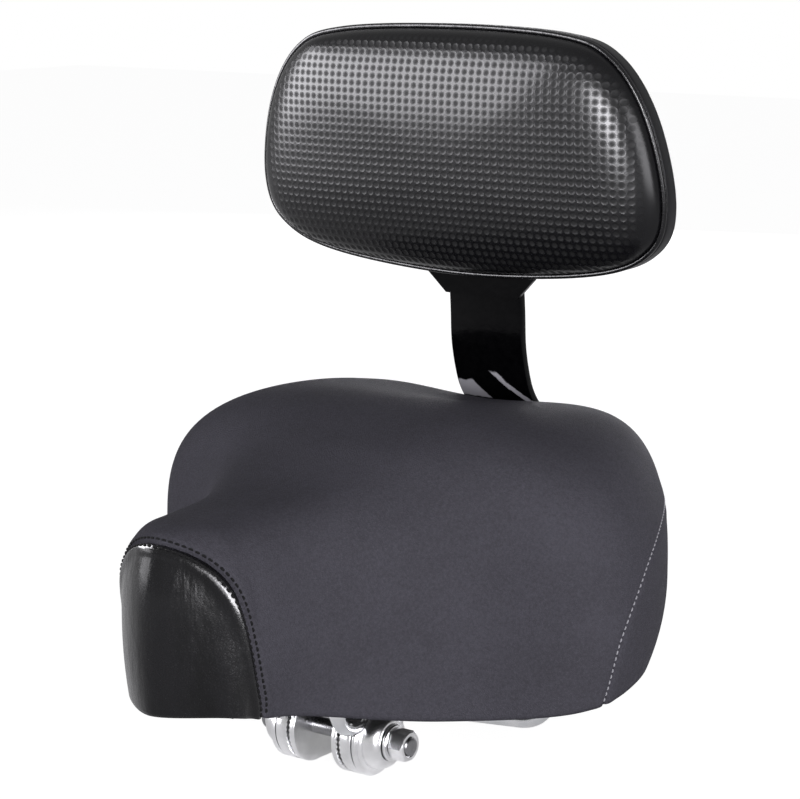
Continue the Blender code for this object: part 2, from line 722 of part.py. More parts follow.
def backrest_post(look):
    path = bar_path()
    along = np.gradient(path, axis=0)
    along /= np.hypot(*along.T)[:, None]
    away = np.stack([-along[:, 1], along[:, 0]], -1) * BAR_THICKNESS / 2
    profile = [tuple(p) for p in path + away] + [tuple(p) for p in (path - away)[::-1]]
    post = prism(profile, BAR_HALF_WIDTH, "backrest_post", look, False)
    post.matrix_world = Matrix(((0, 0, 1, 0), (1, 0, 0, 0), (0, 1, 0, 0), (0, 0, 0, 1)))
    freeze(post)
    edges = post.modifiers.new("bevel", "BEVEL")
    edges.width = BAR_EDGE * MM
    edges.segments = 1
    edges.limit_method = "ANGLE"
    edges.angle_limit = math.radians(60)
    for y in POST_BOLT_YS:
        drill(post, POST_BOLT_HOLE, 30.0, 0, y, BAR_Z)
    for z in BAR_BOLT_ZS:
        drill(post, PLATE_BOLT_HOLE, 12.0, 0, *behind_rim(z, BAR_BEHIND_RIM), (90 + lean_degrees(), 0, 0))
    return post


def lean_degrees():
    return math.degrees(math.atan(REST_LEAN))


def behind_rim(z, depth):
    """Point this deep behind the leaning seam plane, straight back from the plane's point at height z."""
    lean = math.atan(REST_LEAN)
    return rim_plane(0, z) + depth * math.cos(lean), z + depth * math.sin(lean)


def post_bolts(look):
    """Screws up through the bar and the spacers, each with a nut above the base's deck."""
    low = BAR_Z - BAR_THICKNESS / 2 - GAP
    length = DECK_TOP + GAP - 0.8 - low
    for name, y in zip(("front", "rear"), POST_BOLT_YS):
        profile = [
            (0, -POST_BOLT_HEAD),
            (POST_BOLT_HEAD_RADIUS * 0.6, -POST_BOLT_HEAD),
            (POST_BOLT_HEAD_RADIUS, -POST_BOLT_HEAD * 0.4),
            (POST_BOLT_HEAD_RADIUS, 0),
            (POST_BOLT_RADIUS, 0),
            (POST_BOLT_RADIUS, length),
            (0, length),
        ]
        place(turned(profile, "post_bolt_" + name, look, WIRE_SIDES), 0, y, low)


# Backrest pad


def outline(scale_in):
    """Half outline moved inwards: arrays of x and z from top to bottom."""
    curve = catmull(REST_OUTLINE, REST_STEPS, True)
    x, z = curve.T.copy()
    x[0] = x[-1] = 0.0
    full_x = np.concatenate([[-x[1]], x, [-x[-2]]])
    full_z = np.concatenate([[z[1]], z, [z[-2]]])
    along = np.stack([full_x[2:] - full_x[:-2], full_z[2:] - full_z[:-2]])
    along /= np.hypot(*along)
    x = x + along[1] * scale_in
    z = z - along[0] * scale_in
    x[0] = x[-1] = 0.0
    return x, z


def rim_plane(x, z):
    """Distance back of the seam between pad and shell."""
    return RIM_Y_AT[0] - REST_LEAN * (z - RIM_Y_AT[1]) - REST_WRAP * (x / REST_HALF_WIDTH) ** 2


def pad_row(inset, bulge, up, forward=0.0):
    """Half ring of the pad's front, from the seam (up 0) to its middle (up 1)."""
    x, z = outline(inset)
    across = 0.0 if up == 1 else math.cos(up * math.pi / 2) ** (2 / REST_SECTION)
    rise = math.sin(up * math.pi / 2) ** (2 / REST_SECTION)
    row_x = x * across
    row_z = REST_MIDDLE_Z + (z - REST_MIDDLE_Z) * across
    return np.stack([row_x, rim_plane(row_x, row_z) - forward - bulge * rise, row_z], -1)


def back_row(inset, back, share=1.0):
    """Half ring behind the seam, drawn towards the middle by the share."""
    x, z = outline(inset)
    x = x * share
    z = REST_MIDDLE_Z + (z - REST_MIDDLE_Z) * share
    return np.stack([x, rim_plane(x, z) + back, z], -1)


def backrest_cover(look):
    outer = [pad_row(PAD_INSET, REST_BULGE, up) for up in PAD_ROWS]
    inner = [pad_row(PAD_INSET + COVER_THICKNESS, REST_BULGE - COVER_THICKNESS, up) for up in PAD_ROWS]
    mirrored_body(outer[::-1] + inner, "backrest_cover", look, len(outer))


def backrest_foam(look):
    inset = PAD_INSET + FOAM_INSET
    front = [pad_row(inset, REST_BULGE - FOAM_INSET, up) for up in PAD_ROWS]
    back = [back_row(inset, 0.0, share) for share in (0.5, 0.0)]
    mirrored_body(front[::-1] + back, "backrest_foam", look)


def backrest_board(look):
    """Stiff panel that the foam is glued to, inside the back shell."""
    inset = SHELL_LIP + SHELL_EDGE
    front = [back_row(inset, GAP, share) for share in (0.0, 0.5, 1.0)]
    back = [back_row(inset, GAP + BOARD_THICKNESS, share) for share in (1.0, 0.5, 0.0)]
    mirrored_body(front + back, "backrest_board", look)


def backrest_shell(look):
    """Moulded back with a turned-up rim around the board."""
    inner = SHELL_LIP + SHELL_EDGE - GAP
    floor = GAP + BOARD_THICKNESS + GAP
    rows = [back_row(inner, floor, share) for share in (0.0, 0.5, 1.0)]
    rows.append(back_row(inner, GAP))
    rows.append(back_row(SHELL_FRONT_EDGE, GAP))
    rows.append(back_row(0.0, GAP + SHELL_FRONT_EDGE))
    rows.append(back_row(0.0, SHELL_DEPTH - SHELL_EDGE))
    rows.append(back_row(0.9, SHELL_DEPTH - SHELL_EDGE * 0.3))
    rows.append(back_row(SHELL_EDGE, SHELL_DEPTH))
    rows += [back_row(SHELL_EDGE, SHELL_DEPTH, share) for share in (0.5, 0.0)]
    shell = mirrored_body(rows, "backrest_shell", look)
    across = (90 + lean_degrees(), 0, 0)
    for x, z in plate_bolt_places():
        drill(shell, PLATE_BOLT_HOLE, 2 * SHELL_DEPTH, x, *behind_rim(z, SHELL_DEPTH), across)
    return shell


def backrest_piping(look):
    """Cord sewn into the seam, lying just in front of the shell's rim."""
    x, z = outline(0.0)
    ring_x = np.concatenate([x, -x[-2:0:-1]])
    ring_z = np.concatenate([z, z[-2:0:-1]])
    centre = np.stack([ring_x, rim_plane(ring_x, ring_z) - PIPING_RADIUS, ring_z], -1)
    bm = bmesh.new()
    rings = []
    ahead = np.roll(centre, -1, axis=0) - np.roll(centre, 1, axis=0)
    for point, tangent in zip(centre, ahead):
        tangent = tangent / np.linalg.norm(tangent)
        outward = np.cross(tangent, (0.0, 1.0, 0.0))
        outward = outward / np.linalg.norm(outward)
        front = np.cross(outward, tangent)
        middle = point + outward * -PIPING_RADIUS * 0.55
        ring = []
        for a, b in round_profile(PIPING_RADIUS - 0.15, PIPING_SIDES):
            ring.append(bm.verts.new(Vector((middle + outward * a * 0.6 + front * b) * MM)))
        rings.append(ring)
    count = len(rings)
    for i in range(count):
        low, high = rings[i], rings[(i + 1) % count]
        for j in range(PIPING_SIDES):
            k = (j + 1) % PIPING_SIDES
            bm.faces.new([low[j], low[k], high[k], high[j]])
    return node_from(bm, "backrest_piping", look)


def plate_bolt_places():
    return [(side * PLATE_BOLT_X, z) for side in (-1, 1) for z in PLATE_BOLT_ZS]


def backrest_plate(look):
    """Flat steel plate between the bar and the shell, its lower corners cut off."""
    low, high = PLATE_BOTTOM_Z - REST_MIDDLE_Z, PLATE_TOP_Z - REST_MIDDLE_Z
    cut = PLATE_CHAMFER
    half = PLATE_HALF
    profile = [
        (-half + cut, low),
        (half - cut, low),
        (half, low + cut),
        (half, high - cut / 2),
        (half - cut / 2, high),
        (-half + cut / 2, high),
        (-half, high - cut / 2),
        (-half, low + cut),
    ]
    plate = prism(profile, PLATE_THICKNESS / 2, "backrest_plate", look)
    back = SHELL_DEPTH + GAP + PLATE_THICKNESS / 2
    place(plate, 0, *behind_rim(REST_MIDDLE_Z, back), (90 + lean_degrees(), 0, 0))
    freeze(plate)
    for x, z in plate_bolt_places():
        drill(plate, PLATE_BOLT_HOLE, 12.0, x, *behind_rim(z, back), (90 + lean_degrees(), 0, 0))
    for z in BAR_BOLT_ZS:
        drill(plate, PLATE_BOLT_HOLE, 12.0, 0, *behind_rim(z, back), (90 + lean_degrees(), 0, 0))
    return plate


def origin_to_post():
    """The sizes above count from a point ahead of the seat post, whose axis is the part's origin."""
    for item in bpy.data.objects:
        item.location.y -= POST_Y * MM


def panhead(name, look, radius, head_radius, head, length):
    """Screw whose head stands on local Z = 0 and whose shank points down."""
    profile = [
        (0, head),
        (head_radius * 0.6, head),
        (head_radius, head * 0.4),
        (head_radius, 0),
        (radius, 0),
        (radius, -length),
        (0, -length),
    ]
    return turned(profile, name, look, WIRE_SIDES)


def backrest_screws(look):
    """Screws through the plate into the shell, and bolts through the bar and the plate."""
    level = SHELL_DEPTH + GAP + PLATE_THICKNESS + GAP
    tilt = (lean_degrees() - 90, 0, 0)
    for number, (x, z) in enumerate(plate_bolt_places()):
        item = panhead(
            "plate_screw_" + "abcd"[number],
            look,
            PLATE_BOLT_RADIUS,
            PLATE_BOLT_HEAD_RADIUS,
            PLATE_BOLT_HEAD,
            PLATE_THICKNESS + PLATE_SCREW_GRIP,
        )
        place(item, x, *behind_rim(z, level), tilt)
    behind = level + BAR_THICKNESS + GAP
    for name, z in zip(("lower", "upper"), BAR_BOLT_ZS):
        length = BAR_THICKNESS + PLATE_THICKNESS
        sizes = (PLATE_BOLT_RADIUS, BAR_BOLT_HEAD_RADIUS, PLATE_BOLT_HEAD, length)
        place(panhead("bar_bolt_" + name, look, *sizes), 0, *behind_rim(z, behind), tilt)


def main():
    clear_scene()
    matte = material("seat_leatherette", (0.055, 0.053, 0.062), 0.0, 0.55)
    gloss = material("gloss_leatherette", (0.012, 0.012, 0.013), 0.0, 0.22, 0.4)
    embossed = material("embossed_leatherette", (0.02, 0.02, 0.022), 0.0, 0.35, 0.3)
    foam = material("foam", (0.55, 0.52, 0.42), 0.0, 0.95)
    plastic = material("moulded_plastic", (0.02, 0.02, 0.02), 0.0, 0.6)
    black_steel = material("painted_steel", (0.006, 0.006, 0.007), 0.0, 0.2, 0.6)
    zinc = material("zinc", (0.72, 0.72, 0.74), 1.0, 0.32)
    chrome = material("chrome", (0.78, 0.78, 0.8), 1.0, 0.14)
    clamp_band(zinc)
    clamp_bolt(zinc)
    clamp_nut(zinc)
    clamp_washers(zinc)
    clamp_cups(zinc)
    rails(chrome)
    sockets(plastic)
    seat_base(plastic)
    seat_foam(foam)
    seat_covers(matte, gloss)
    backrest_post(black_steel)
    post_bolts(zinc)
    backrest_cover(embossed)
    backrest_foam(foam)
    backrest_board(plastic)
    backrest_shell(plastic)
    backrest_piping(gloss)
    backrest_plate(black_steel)
    backrest_screws(zinc)
    origin_to_post()


main()
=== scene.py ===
import math

import bmesh
import bpy
import numpy as np
from mathutils import Matrix, Vector


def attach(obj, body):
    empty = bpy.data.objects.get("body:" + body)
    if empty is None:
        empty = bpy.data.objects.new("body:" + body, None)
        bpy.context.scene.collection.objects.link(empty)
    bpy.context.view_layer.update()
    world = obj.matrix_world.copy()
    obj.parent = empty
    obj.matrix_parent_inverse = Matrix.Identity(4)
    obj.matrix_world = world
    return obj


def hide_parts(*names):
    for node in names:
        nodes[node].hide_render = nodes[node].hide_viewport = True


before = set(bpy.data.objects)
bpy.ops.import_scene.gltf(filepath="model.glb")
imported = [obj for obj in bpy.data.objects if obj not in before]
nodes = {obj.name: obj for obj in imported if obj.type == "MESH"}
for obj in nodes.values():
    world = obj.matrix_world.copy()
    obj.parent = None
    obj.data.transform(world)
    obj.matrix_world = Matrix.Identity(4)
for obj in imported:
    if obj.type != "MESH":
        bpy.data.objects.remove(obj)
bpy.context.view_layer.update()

scene = bpy.context.scene
MM = 0.001


# The studio: a pale paper floor, a white surround and four soft boxes, the strongest at the front right.
# Five more panels only gleam: cards keep two of them to the backrest cushion with its piping, and three
# to the nose.

camera = bpy.data.objects.new("camera", bpy.data.cameras.new("camera"))
camera.data.lens = 112.5
camera.data.sensor_width = 36.0
camera_right = Vector((0.80394975, 0.59469723, 0.0))
camera_up = Vector((-0.11255261, 0.15215582, 0.98192694))
camera_back = camera_right.cross(camera_up)
camera.matrix_world = Matrix.Translation((0.683202, -0.901754, 0.386022)) @ Matrix(
    (camera_right, camera_up, camera_back)
).transposed().to_4x4()
scene.collection.objects.link(camera)
scene.camera = camera

scene.view_settings.view_transform = "Standard"


class Wire:
    """A value, colour or vector inside a material; Python's operators add the nodes that join two."""

    def __init__(self, tree, socket):
        self.tree = tree
        self.socket = socket

    def node(self, kind, settings=None, sockets=None, out=0):
        """Any node: its type, its settings, then what its sockets hold or are linked to."""
        made = self.tree.nodes.new(kind)
        for key, value in (settings or {}).items():
            setattr(made, key, value)
        for key, value in (sockets or {}).items():
            if isinstance(value, Wire):
                self.tree.links.new(value.socket, made.inputs[key])
            else:
                made.inputs[key].default_value = value
        return Wire(self.tree, made.outputs[out])

    def maths(self, operation, *values):
        return self.node("ShaderNodeMath", {"operation": operation}, dict(enumerate(values)))

    def __add__(self, other):
        return self.maths("ADD", self, other)

    def __sub__(self, other):
        return self.maths("SUBTRACT", self, other)

    def __rsub__(self, other):
        return self.maths("SUBTRACT", other, self)

    def __mul__(self, other):
        return self.maths("MULTIPLY", self, other)

    def __truediv__(self, other):
        return self.maths("DIVIDE", self, other)

    def __pow__(self, other):
        return self.maths("POWER", self, other)

    __radd__ = __add__
    __rmul__ = __mul__

    def between(self, low, high):
        """0 below low, 1 above high, smooth between them."""
        sockets = {0: self, 1: low, 2: high}
        return self.node("ShaderNodeMapRange", {"interpolation_type": "SMOOTHSTEP"}, sockets)

    def blend(self, first, second):
        """The first colour where this is 0 and the second where it is 1."""
        return self.node("ShaderNodeMix", {"data_type": "RGBA"}, {0: self, 6: first, 7: second}, 2)

    def stretched(self, x, y, z):
        return self.node("ShaderNodeVectorMath", {"operation": "MULTIPLY"}, {0: self, 1: (x, y, z)})

    def noise(self, scale, detail=2.0, roughness=0.5):
        sockets = {"Vector": self, "Scale": scale, "Detail": detail, "Roughness": roughness}
        return self.node("ShaderNodeTexNoise", None, sockets)

    def cells(self, scale):
        """0 on the borders between rounded cells, growing inwards."""
        sockets = {"Vector": self, "Scale": scale}
        return self.node("ShaderNodeTexVoronoi", {"feature": "DISTANCE_TO_EDGE"}, sockets)

    def waves(self, scale):
        sockets = {"Vector": self, "Scale": scale}
        return self.node("ShaderNodeTexWave", {"bands_direction": "DIAGONAL"}, sockets)

    def part(self, axis):
        return self.node("ShaderNodeSeparateXYZ", None, {0: self}, axis)

    def size(self):
        """The value without its sign."""
        return self.maths("ABSOLUTE", self)


class Finish:
    """A surface finish with its own shader; the piece's coordinates are in metres."""

    def __init__(self, name, constants):
        self.material = bpy.data.materials.new(name)
        self.material.use_nodes = True
        self.shader = self.material.node_tree.nodes["Principled BSDF"]
        for socket, value in constants.items():
            self.shader.inputs[socket].default_value = value
        tree = self.material.node_tree
        self.place = Wire(tree, tree.nodes.new("ShaderNodeTexCoord").outputs["Object"])

    def feed(self, socket, wire):
        self.material.node_tree.links.new(wire.socket, self.shader.inputs[socket])

    def relief(self, height, depth, strength=1.0):
        sockets = {"Height": height, "Distance": depth, "Strength": strength}
        self.feed("Normal", height.node("ShaderNodeBump", None, sockets))

    def dress(self, *objects):
        for item in objects:
            item.data.materials.clear()
            item.data.materials.append(self.material)


def rgb(*levels):
    """A colour as it looks on a screen, 0 to 255, turned into light."""
    light = [((v / 255 + 0.055) / 1.055) ** 2.4 if v > 10 else v / 255 / 12.92 for v in levels]
    return (*light, 1.0)


WHITE_IN_GLOSS = 0.45


def white_where_seen(tree, ambient, white):
    """White where the camera or a glass looks straight at the surround, and dimmer in a gloss."""
    path = tree.nodes.new("ShaderNodeLightPath")
    seen = Wire(tree, path.outputs["Is Camera Ray"])
    seen = seen.maths("MAXIMUM", seen, Wire(tree, path.outputs["Is Transmission Ray"]))
    seen = seen.maths("MAXIMUM", seen, Wire(tree, path.outputs["Is Glossy Ray"]) * WHITE_IN_GLOSS)
    return seen.node("ShaderNodeMixShader", None, {0: seen, 1: ambient, 2: white})


surround = bpy.data.worlds.new("surround")
surround.use_nodes = True
scene.world = surround
surround_tree = surround.node_tree
surround_tree.nodes.clear()
start = Wire(surround_tree, None)
ambient = start.node("ShaderNodeBackground", None, {"Color": (0.96, 0.95, 1.0, 1.0), "Strength": 0.12})
white = start.node("ShaderNodeBackground", None, {"Color": (1.0, 1.0, 1.0, 1.0), "Strength": 1.0})
surround_out = surround_tree.nodes.new("ShaderNodeOutputWorld")
shown = white_where_seen(surround_tree, ambient, white)
surround_tree.links.new(shown.socket, surround_out.inputs["Surface"])


LAMP_TINT = (0.97, 0.96, 1.0)
LIT_SPOT = Vector((0.0, 0.02, 0.2))


def soft_box(name, place, size, watts, gleam_only=False):
    """An area lamp turned to the saddle; a gleam-only one shows as a reflection and lights nothing."""
    lamp = bpy.data.lights.new(name, "AREA")
    lamp.shape = "RECTANGLE"
    lamp.size, lamp.size_y = size
    lamp.energy = watts
    lamp.color = LAMP_TINT
    item = bpy.data.objects.new(name, lamp)
    item.location = place
    item.rotation_euler = (LIT_SPOT - Vector(place)).to_track_quat("-Z", "Y").to_euler()
    item.visible_diffuse = not gleam_only
    scene.collection.objects.link(item)
    return item


def shade_off(lamps, *lit):
    """Shades the lamps so that they reach only the pieces named, as a photographer's cards would."""
    reached = bpy.data.collections.new("reached")
    for item in lit:
        reached.objects.link(item)
    for lamp in lamps:
        lamp.light_linking.receiver_collection = reached


soft_box("right_box", (1.6, -1.15, 0.5), (1.2, 1.0), 36.0)
soft_box("left_box", (-1.42, -1.11, 0.55), (1.2, 1.0), 18.0)
soft_box("top_box", (0.1, 0.6, 2.0), (1.0, 1.0), 0.4)
soft_box("back_box", (-0.6, 1.9, 0.3), (1.6, 0.6), 14.0)
pad_lamps = [
    soft_box("left_panel", (-1.5, -1.2, 0.62), (1.6, 1.4), 118.0, True),
    soft_box("front_panel", (0.08, -1.75, 0.3), (0.36, 0.6), 48.0, True),
]
nose_lamps = [
    soft_box("nose_right_panel", (1.45, -0.8, 0.8), (0.7, 0.7), 28.0, True),
    soft_box("nose_left_panel", (-1.15, 0.0, 0.9), (0.9, 0.9), 60.0, True),
    soft_box("nose_low_panel", (1.35, 0.0, 0.32), (1.3, 0.64), 115.0, True),
]


FLOOR_HALF_SIZE = 4.0
FLOOR_GAP = 0.0004
WHITE_TO_CAMERA = 0.8
PAPER_GLOW = 1.19
DARK_SPOT = (0.2, -0.45)
GLOSS_AT_SPOT, GLOSS_AWAY = 0.05, 0.25

floor = bpy.data.objects.new("floor", bpy.data.meshes.new("floor"))
floor_mesh = bmesh.new()
bmesh.ops.create_grid(floor_mesh, x_segments=1, y_segments=1, size=FLOOR_HALF_SIZE)
floor_mesh.to_mesh(floor.data)
floor_mesh.free()
floor.location.z = -FLOOR_GAP
scene.collection.objects.link(floor)
paper = Finish("floor_paper", {"Roughness": 0.9, "Specular IOR Level": 0.0})
fibres = paper.place.noise(60.0, 3.0)
paper.feed("Base Color", fibres.between(0.3, 0.7).blend((0.93, 0.93, 0.93, 1.0), (0.95, 0.95, 0.95, 1.0)))
paper_tree = paper.material.node_tree
glow = fibres.node("ShaderNodeEmission", None, {"Strength": PAPER_GLOW})
ray = paper_tree.nodes.new("ShaderNodeLightPath")
seen = Wire(paper_tree, ray.outputs["Is Camera Ray"]) * WHITE_TO_CAMERA
away_x, away_y = paper.place.part(0) - DARK_SPOT[0], paper.place.part(1) - DARK_SPOT[1]
off_spot = (away_x * away_x + away_y * away_y) ** 0.5
gloss_share = GLOSS_AT_SPOT + off_spot.between(0.15, 0.5) * (GLOSS_AWAY - GLOSS_AT_SPOT)
mirrored = Wire(paper_tree, ray.outputs["Is Glossy Ray"]) * gloss_share
lit = Wire(paper_tree, paper.shader.outputs[0])
shown = seen.node("ShaderNodeMixShader", None, {0: seen + mirrored, 1: lit, 2: glow})
paper_tree.links.new(shown.socket, paper_tree.nodes["Material Output"].inputs["Surface"])
paper.dress(floor)


# The seat-post clamp: a steel strap bent round the post, its two ends made into toothed discs, and a
# pair of cups on each side that grip a rail. All are pressed and zinc-plated. The toothed inner cups set
# the saddle's tilt against the strap's discs.

BOLT_Y = -28.8
BOLT_Z = 17.2
DISC_RADIUS = 17.2
STRAP_MIDDLE = 12.75
STRAP_HALF_THICKNESS = 1.8
STRAP_HALF_HEIGHT = 16.0
STRAP_EDGE = 0.7
EAR_IN, EAR_OUT = 10.75, 14.4
CUP_IN, CUP_SPLIT_IN, CUP_SPLIT_OUT, CUP_OUT = 14.8, 21.75, 22.25, 33.2
FLANGE = 2.4
TEETH = 44
TOOTH_DEPTH = 0.9
TOOTH_SHIFT = 0.85
HUB_RADIUS = DISC_RADIUS - 5.4


def piece(name, verts, faces, body, smooth_under=40.0):
    """A mesh object from points in millimetres, riding on a body of the frame."""
    mesh = bpy.data.meshes.new(name)
    mesh.from_pydata([tuple(float(c) * MM for c in v) for v in verts], [], [tuple(f) for f in faces])
    bm = bmesh.new()
    bm.from_mesh(mesh)
    bmesh.ops.remove_doubles(bm, verts=bm.verts, dist=2e-6)
    bmesh.ops.recalc_face_normals(bm, faces=bm.faces)
    if bm.calc_volume(signed=True) < 0:
        bmesh.ops.reverse_faces(bm, faces=bm.faces)
    bm.to_mesh(mesh)
    bm.free()
    mesh.polygons.foreach_set("use_smooth", [True] * len(mesh.polygons))
    mesh.set_sharp_from_angle(angle=math.radians(smooth_under))
    item = bpy.data.objects.new(name, mesh)
    scene.collection.objects.link(item)
    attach(item, body)
    return item


def ring_quads(rings, count):
    """Faces between rings of points laid one after another."""
    return [
        (r * count + i, r * count + (i + 1) % count, (r + 1) * count + (i + 1) % count, (r + 1) * count + i)
        for r in range(rings - 1)
        for i in range(count)
    ]


def ring_faces(rings, count, close_ends=True):
    """The same with a flat face at each end."""
    faces = ring_quads(rings, count)
    if close_ends:
        faces.append(tuple(range(count))[::-1])
        faces.append(tuple(range((rings - 1) * count, rings * count)))
    return faces


def turned(profile, centre, axis=(1, 0, 0), sides=96, teeth_at=()):
    """A solid of revolution; teeth_at gives rows of points that move along the axis tooth by tooth."""
    axis = np.array(axis, float) / np.linalg.norm(axis)
    first = np.cross(axis, (0.3, 0.5, 0.81))
    first /= np.linalg.norm(first)
    second = np.cross(axis, first)
    verts = []
    for row, (radius, along) in enumerate(profile):
        for i in range(sides):
            angle = 2 * math.pi * i / sides
            shift = dict(teeth_at).get(row, 0.0) * (i % 2)
            side = first * math.cos(angle) + second * math.sin(angle)
            verts.append(np.array(centre) + axis * (along + shift) + side * radius)
    return verts, ring_faces(len(profile), sides)


def joined(*meshes):
    verts, faces = [], []
    for more, which in meshes:
        faces += [tuple(i + len(verts) for i in face) for face in which]
        verts += list(more)
    return verts, faces


def rounded(radius, low, high, edge, foot=0.0):
    """Profile of a disc from one face to the other, its rim rounded at both edges."""
    turns = [math.pi / 2 * i / 4 for i in range(5)]
    rows = [(foot, low)]
    rows += [(radius - edge + edge * math.sin(t), low + edge - edge * math.cos(t)) for t in turns]
    rows += [(radius - edge + edge * math.cos(t), high - edge + edge * math.sin(t)) for t in turns]
    return rows + [(foot, high)]


def toothed(side):
    """An end disc of the strap with teeth on its outer face."""
    root = EAR_OUT - TOOTH_DEPTH
    profile = rounded(DISC_RADIUS, EAR_IN, root, 0.6, foot=0.1)
    profile = profile[:-1] + [(DISC_RADIUS - 0.7, root), (DISC_RADIUS - 0.8, root)]
    profile += [(HUB_RADIUS + 0.4, root), (HUB_RADIUS, EAR_OUT), (0.1, EAR_OUT)]
    top = len(profile)
    teeth = ((top - 5, TOOTH_SHIFT), (top - 4, TOOTH_SHIFT), (top - 3, TOOTH_SHIFT))
    return turned(profile, (0, BOLT_Y, BOLT_Z), (side, 0, 0), 2 * TEETH, teeth)


def flat_section(half_width, half_height, edge):
    """Section of a flat bar with rounded corners."""
    section = []
    for right, top, start_turn in ((1, 1, 0), (-1, 1, 90), (-1, -1, 180), (1, -1, 270)):
        for step in (0, 30, 60, 90):
            turn = math.radians(start_turn + step)
            across = right * (half_width - edge) + edge * math.cos(turn)
            section.append((across, top * (half_height - edge) + edge * math.sin(turn)))
    return section


def strap_round_post():
    """The flat strap: straight legs and a half circle behind the post, with rounded edges."""
    path = [(-STRAP_MIDDLE, BOLT_Y - 2.0), (-STRAP_MIDDLE, BOLT_Y / 2), (-STRAP_MIDDLE, 0.0)]
    for i in range(1, 32):
        turn = math.pi - math.pi * i / 32
        path.append((STRAP_MIDDLE * math.cos(turn), STRAP_MIDDLE * math.sin(turn)))
    path += [(STRAP_MIDDLE, 0.0), (STRAP_MIDDLE, BOLT_Y / 2), (STRAP_MIDDLE, BOLT_Y - 2.0)]
    path = np.array(path)
    along = np.gradient(path, axis=0)
    along /= np.hypot(*along.T)[:, None]
    away = np.stack([-along[:, 1], along[:, 0]], -1)
    section = flat_section(STRAP_HALF_THICKNESS, STRAP_HALF_HEIGHT, STRAP_EDGE)
    verts = [(*(p + side * a), STRAP_HALF_HEIGHT + z) for p, side in zip(path, away) for a, z in section]
    return verts, ring_faces(len(path), len(section))


def zinc_plate(name, colour, roughness):
    """Dull silver plating with faint blotches, fine pits and soft handling marks."""
    finish = Finish(name, {"Metallic": 1.0})
    blotch = finish.place.noise(110.0, 3.0, 0.5)
    pits = finish.place.noise(2600.0, 3.0, 0.7)
    marks = finish.place.stretched(1.0, 4.0, 1.0).noise(900.0, 2.0)
    dull = tuple(c * 0.86 for c in colour[:3]) + (1.0,)
    finish.feed("Base Color", blotch.between(0.3, 0.72).blend(dull, colour))
    finish.feed("Roughness", roughness - 0.05 + blotch * 0.1 + marks * 0.05)
    finish.relief(pits * 0.5 + marks, 0.00003, 0.5)
    return finish


zinc = zinc_plate("zinc_plate", (0.92, 0.92, 0.93, 1.0), 0.2)
strap = piece("clamp_strap", *joined(strap_round_post(), toothed(1), toothed(-1)), "clamp")
zinc.dress(strap)
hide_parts("clamp_band")


def cut(item, verts, faces):
    """Cuts a closed shape out of a piece for good."""
    tool = piece("tool", verts, faces, "saddle")
    step = item.modifiers.new("cut", "BOOLEAN")
    step.operation = "DIFFERENCE"
    step.solver = "EXACT"
    step.object = tool
    graph = bpy.context.evaluated_depsgraph_get()
    mesh = bpy.data.meshes.new_from_object(item.evaluated_get(graph))
    item.modifiers.clear()
    item.data = mesh
    bpy.data.objects.remove(tool, do_unlink=True)
    mesh.polygons.foreach_set("use_smooth", [True] * len(mesh.polygons))
    mesh.set_sharp_from_angle(angle=math.radians(40))


def inner_cup_profile():
    """Flat on the rail's side, toothed on the strap's side."""
    root = CUP_IN + TOOTH_DEPTH
    profile = [(0.1, CUP_IN), (HUB_RADIUS, CUP_IN), (HUB_RADIUS + 0.4, root)]
    profile += [(DISC_RADIUS - 0.8, root), (DISC_RADIUS - 0.5, root + 0.1), (DISC_RADIUS, root + 0.8)]
    return profile + rounded(DISC_RADIUS, CUP_IN, CUP_SPLIT_IN, 0.9)[6:-1] + [(0.1, CUP_SPLIT_IN)]


BOSS_RADIUS = 13.6
BOSS_FACE_RADIUS = 9.2
RAIL_RADIUS = 3.5
RAIL_ACROSS = 22.0
RAIL_HEIGHT = 26.0
GROOVE_PLAY = 0.25


def outer_cup_profile():
    """A flat flange against the rail with a rounded boss pressed out of it, flat where the washer sits."""
    face = CUP_SPLIT_OUT + FLANGE
    profile = [(0.1, CUP_SPLIT_OUT), (DISC_RADIUS - 0.6, CUP_SPLIT_OUT), (DISC_RADIUS, CUP_SPLIT_OUT + 0.6)]
    profile += rounded(DISC_RADIUS, CUP_SPLIT_OUT, face, 0.8)[6:-1]
    profile += [(15.2, face), (14.4, face + 0.12), (13.9, face + 0.6)]
    foot = face + 0.9
    for i in range(13):
        turn = math.pi / 2 * i / 12
        across = BOSS_FACE_RADIUS + (BOSS_RADIUS - BOSS_FACE_RADIUS) * math.cos(turn)
        profile.append((across, foot + (CUP_OUT - foot) * math.sin(turn)))
    return profile + [(8.9, CUP_OUT), (8.8, CUP_OUT - 0.05), (0.1, CUP_OUT - 0.05)]


for side_name, side in (("left", -1), ("right", 1)):
    groove_radius = RAIL_RADIUS + GROOVE_PLAY
    groove_middle = (side * RAIL_ACROSS, BOLT_Y, RAIL_HEIGHT)
    groove = turned([(groove_radius, -40.0), (groove_radius, 40.0)], groove_middle, (0, 1, 0), 48)
    teeth = ((2, -TOOTH_SHIFT), (3, -TOOTH_SHIFT), (4, -0.75))
    bolt_middle, outwards = (0, BOLT_Y, BOLT_Z), (side, 0, 0)
    inner_shape = turned(inner_cup_profile(), bolt_middle, outwards, 2 * TEETH, teeth)
    inner = piece("cup_inner_" + side_name, *inner_shape, "saddle")
    outer = piece("cup_outer_" + side_name, *turned(outer_cup_profile(), bolt_middle, outwards), "saddle")
    for cup in (inner, outer):
        cut(cup, *groove)
        zinc.dress(cup)
    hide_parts("inner_cup_" + side_name)
    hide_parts("outer_cup_" + side_name)


# The clamp bolt: a round-headed steel screw through strap and cups, threaded over most of its length,
# with a washer under the head, and a washer and a hexagon nut on the far end.

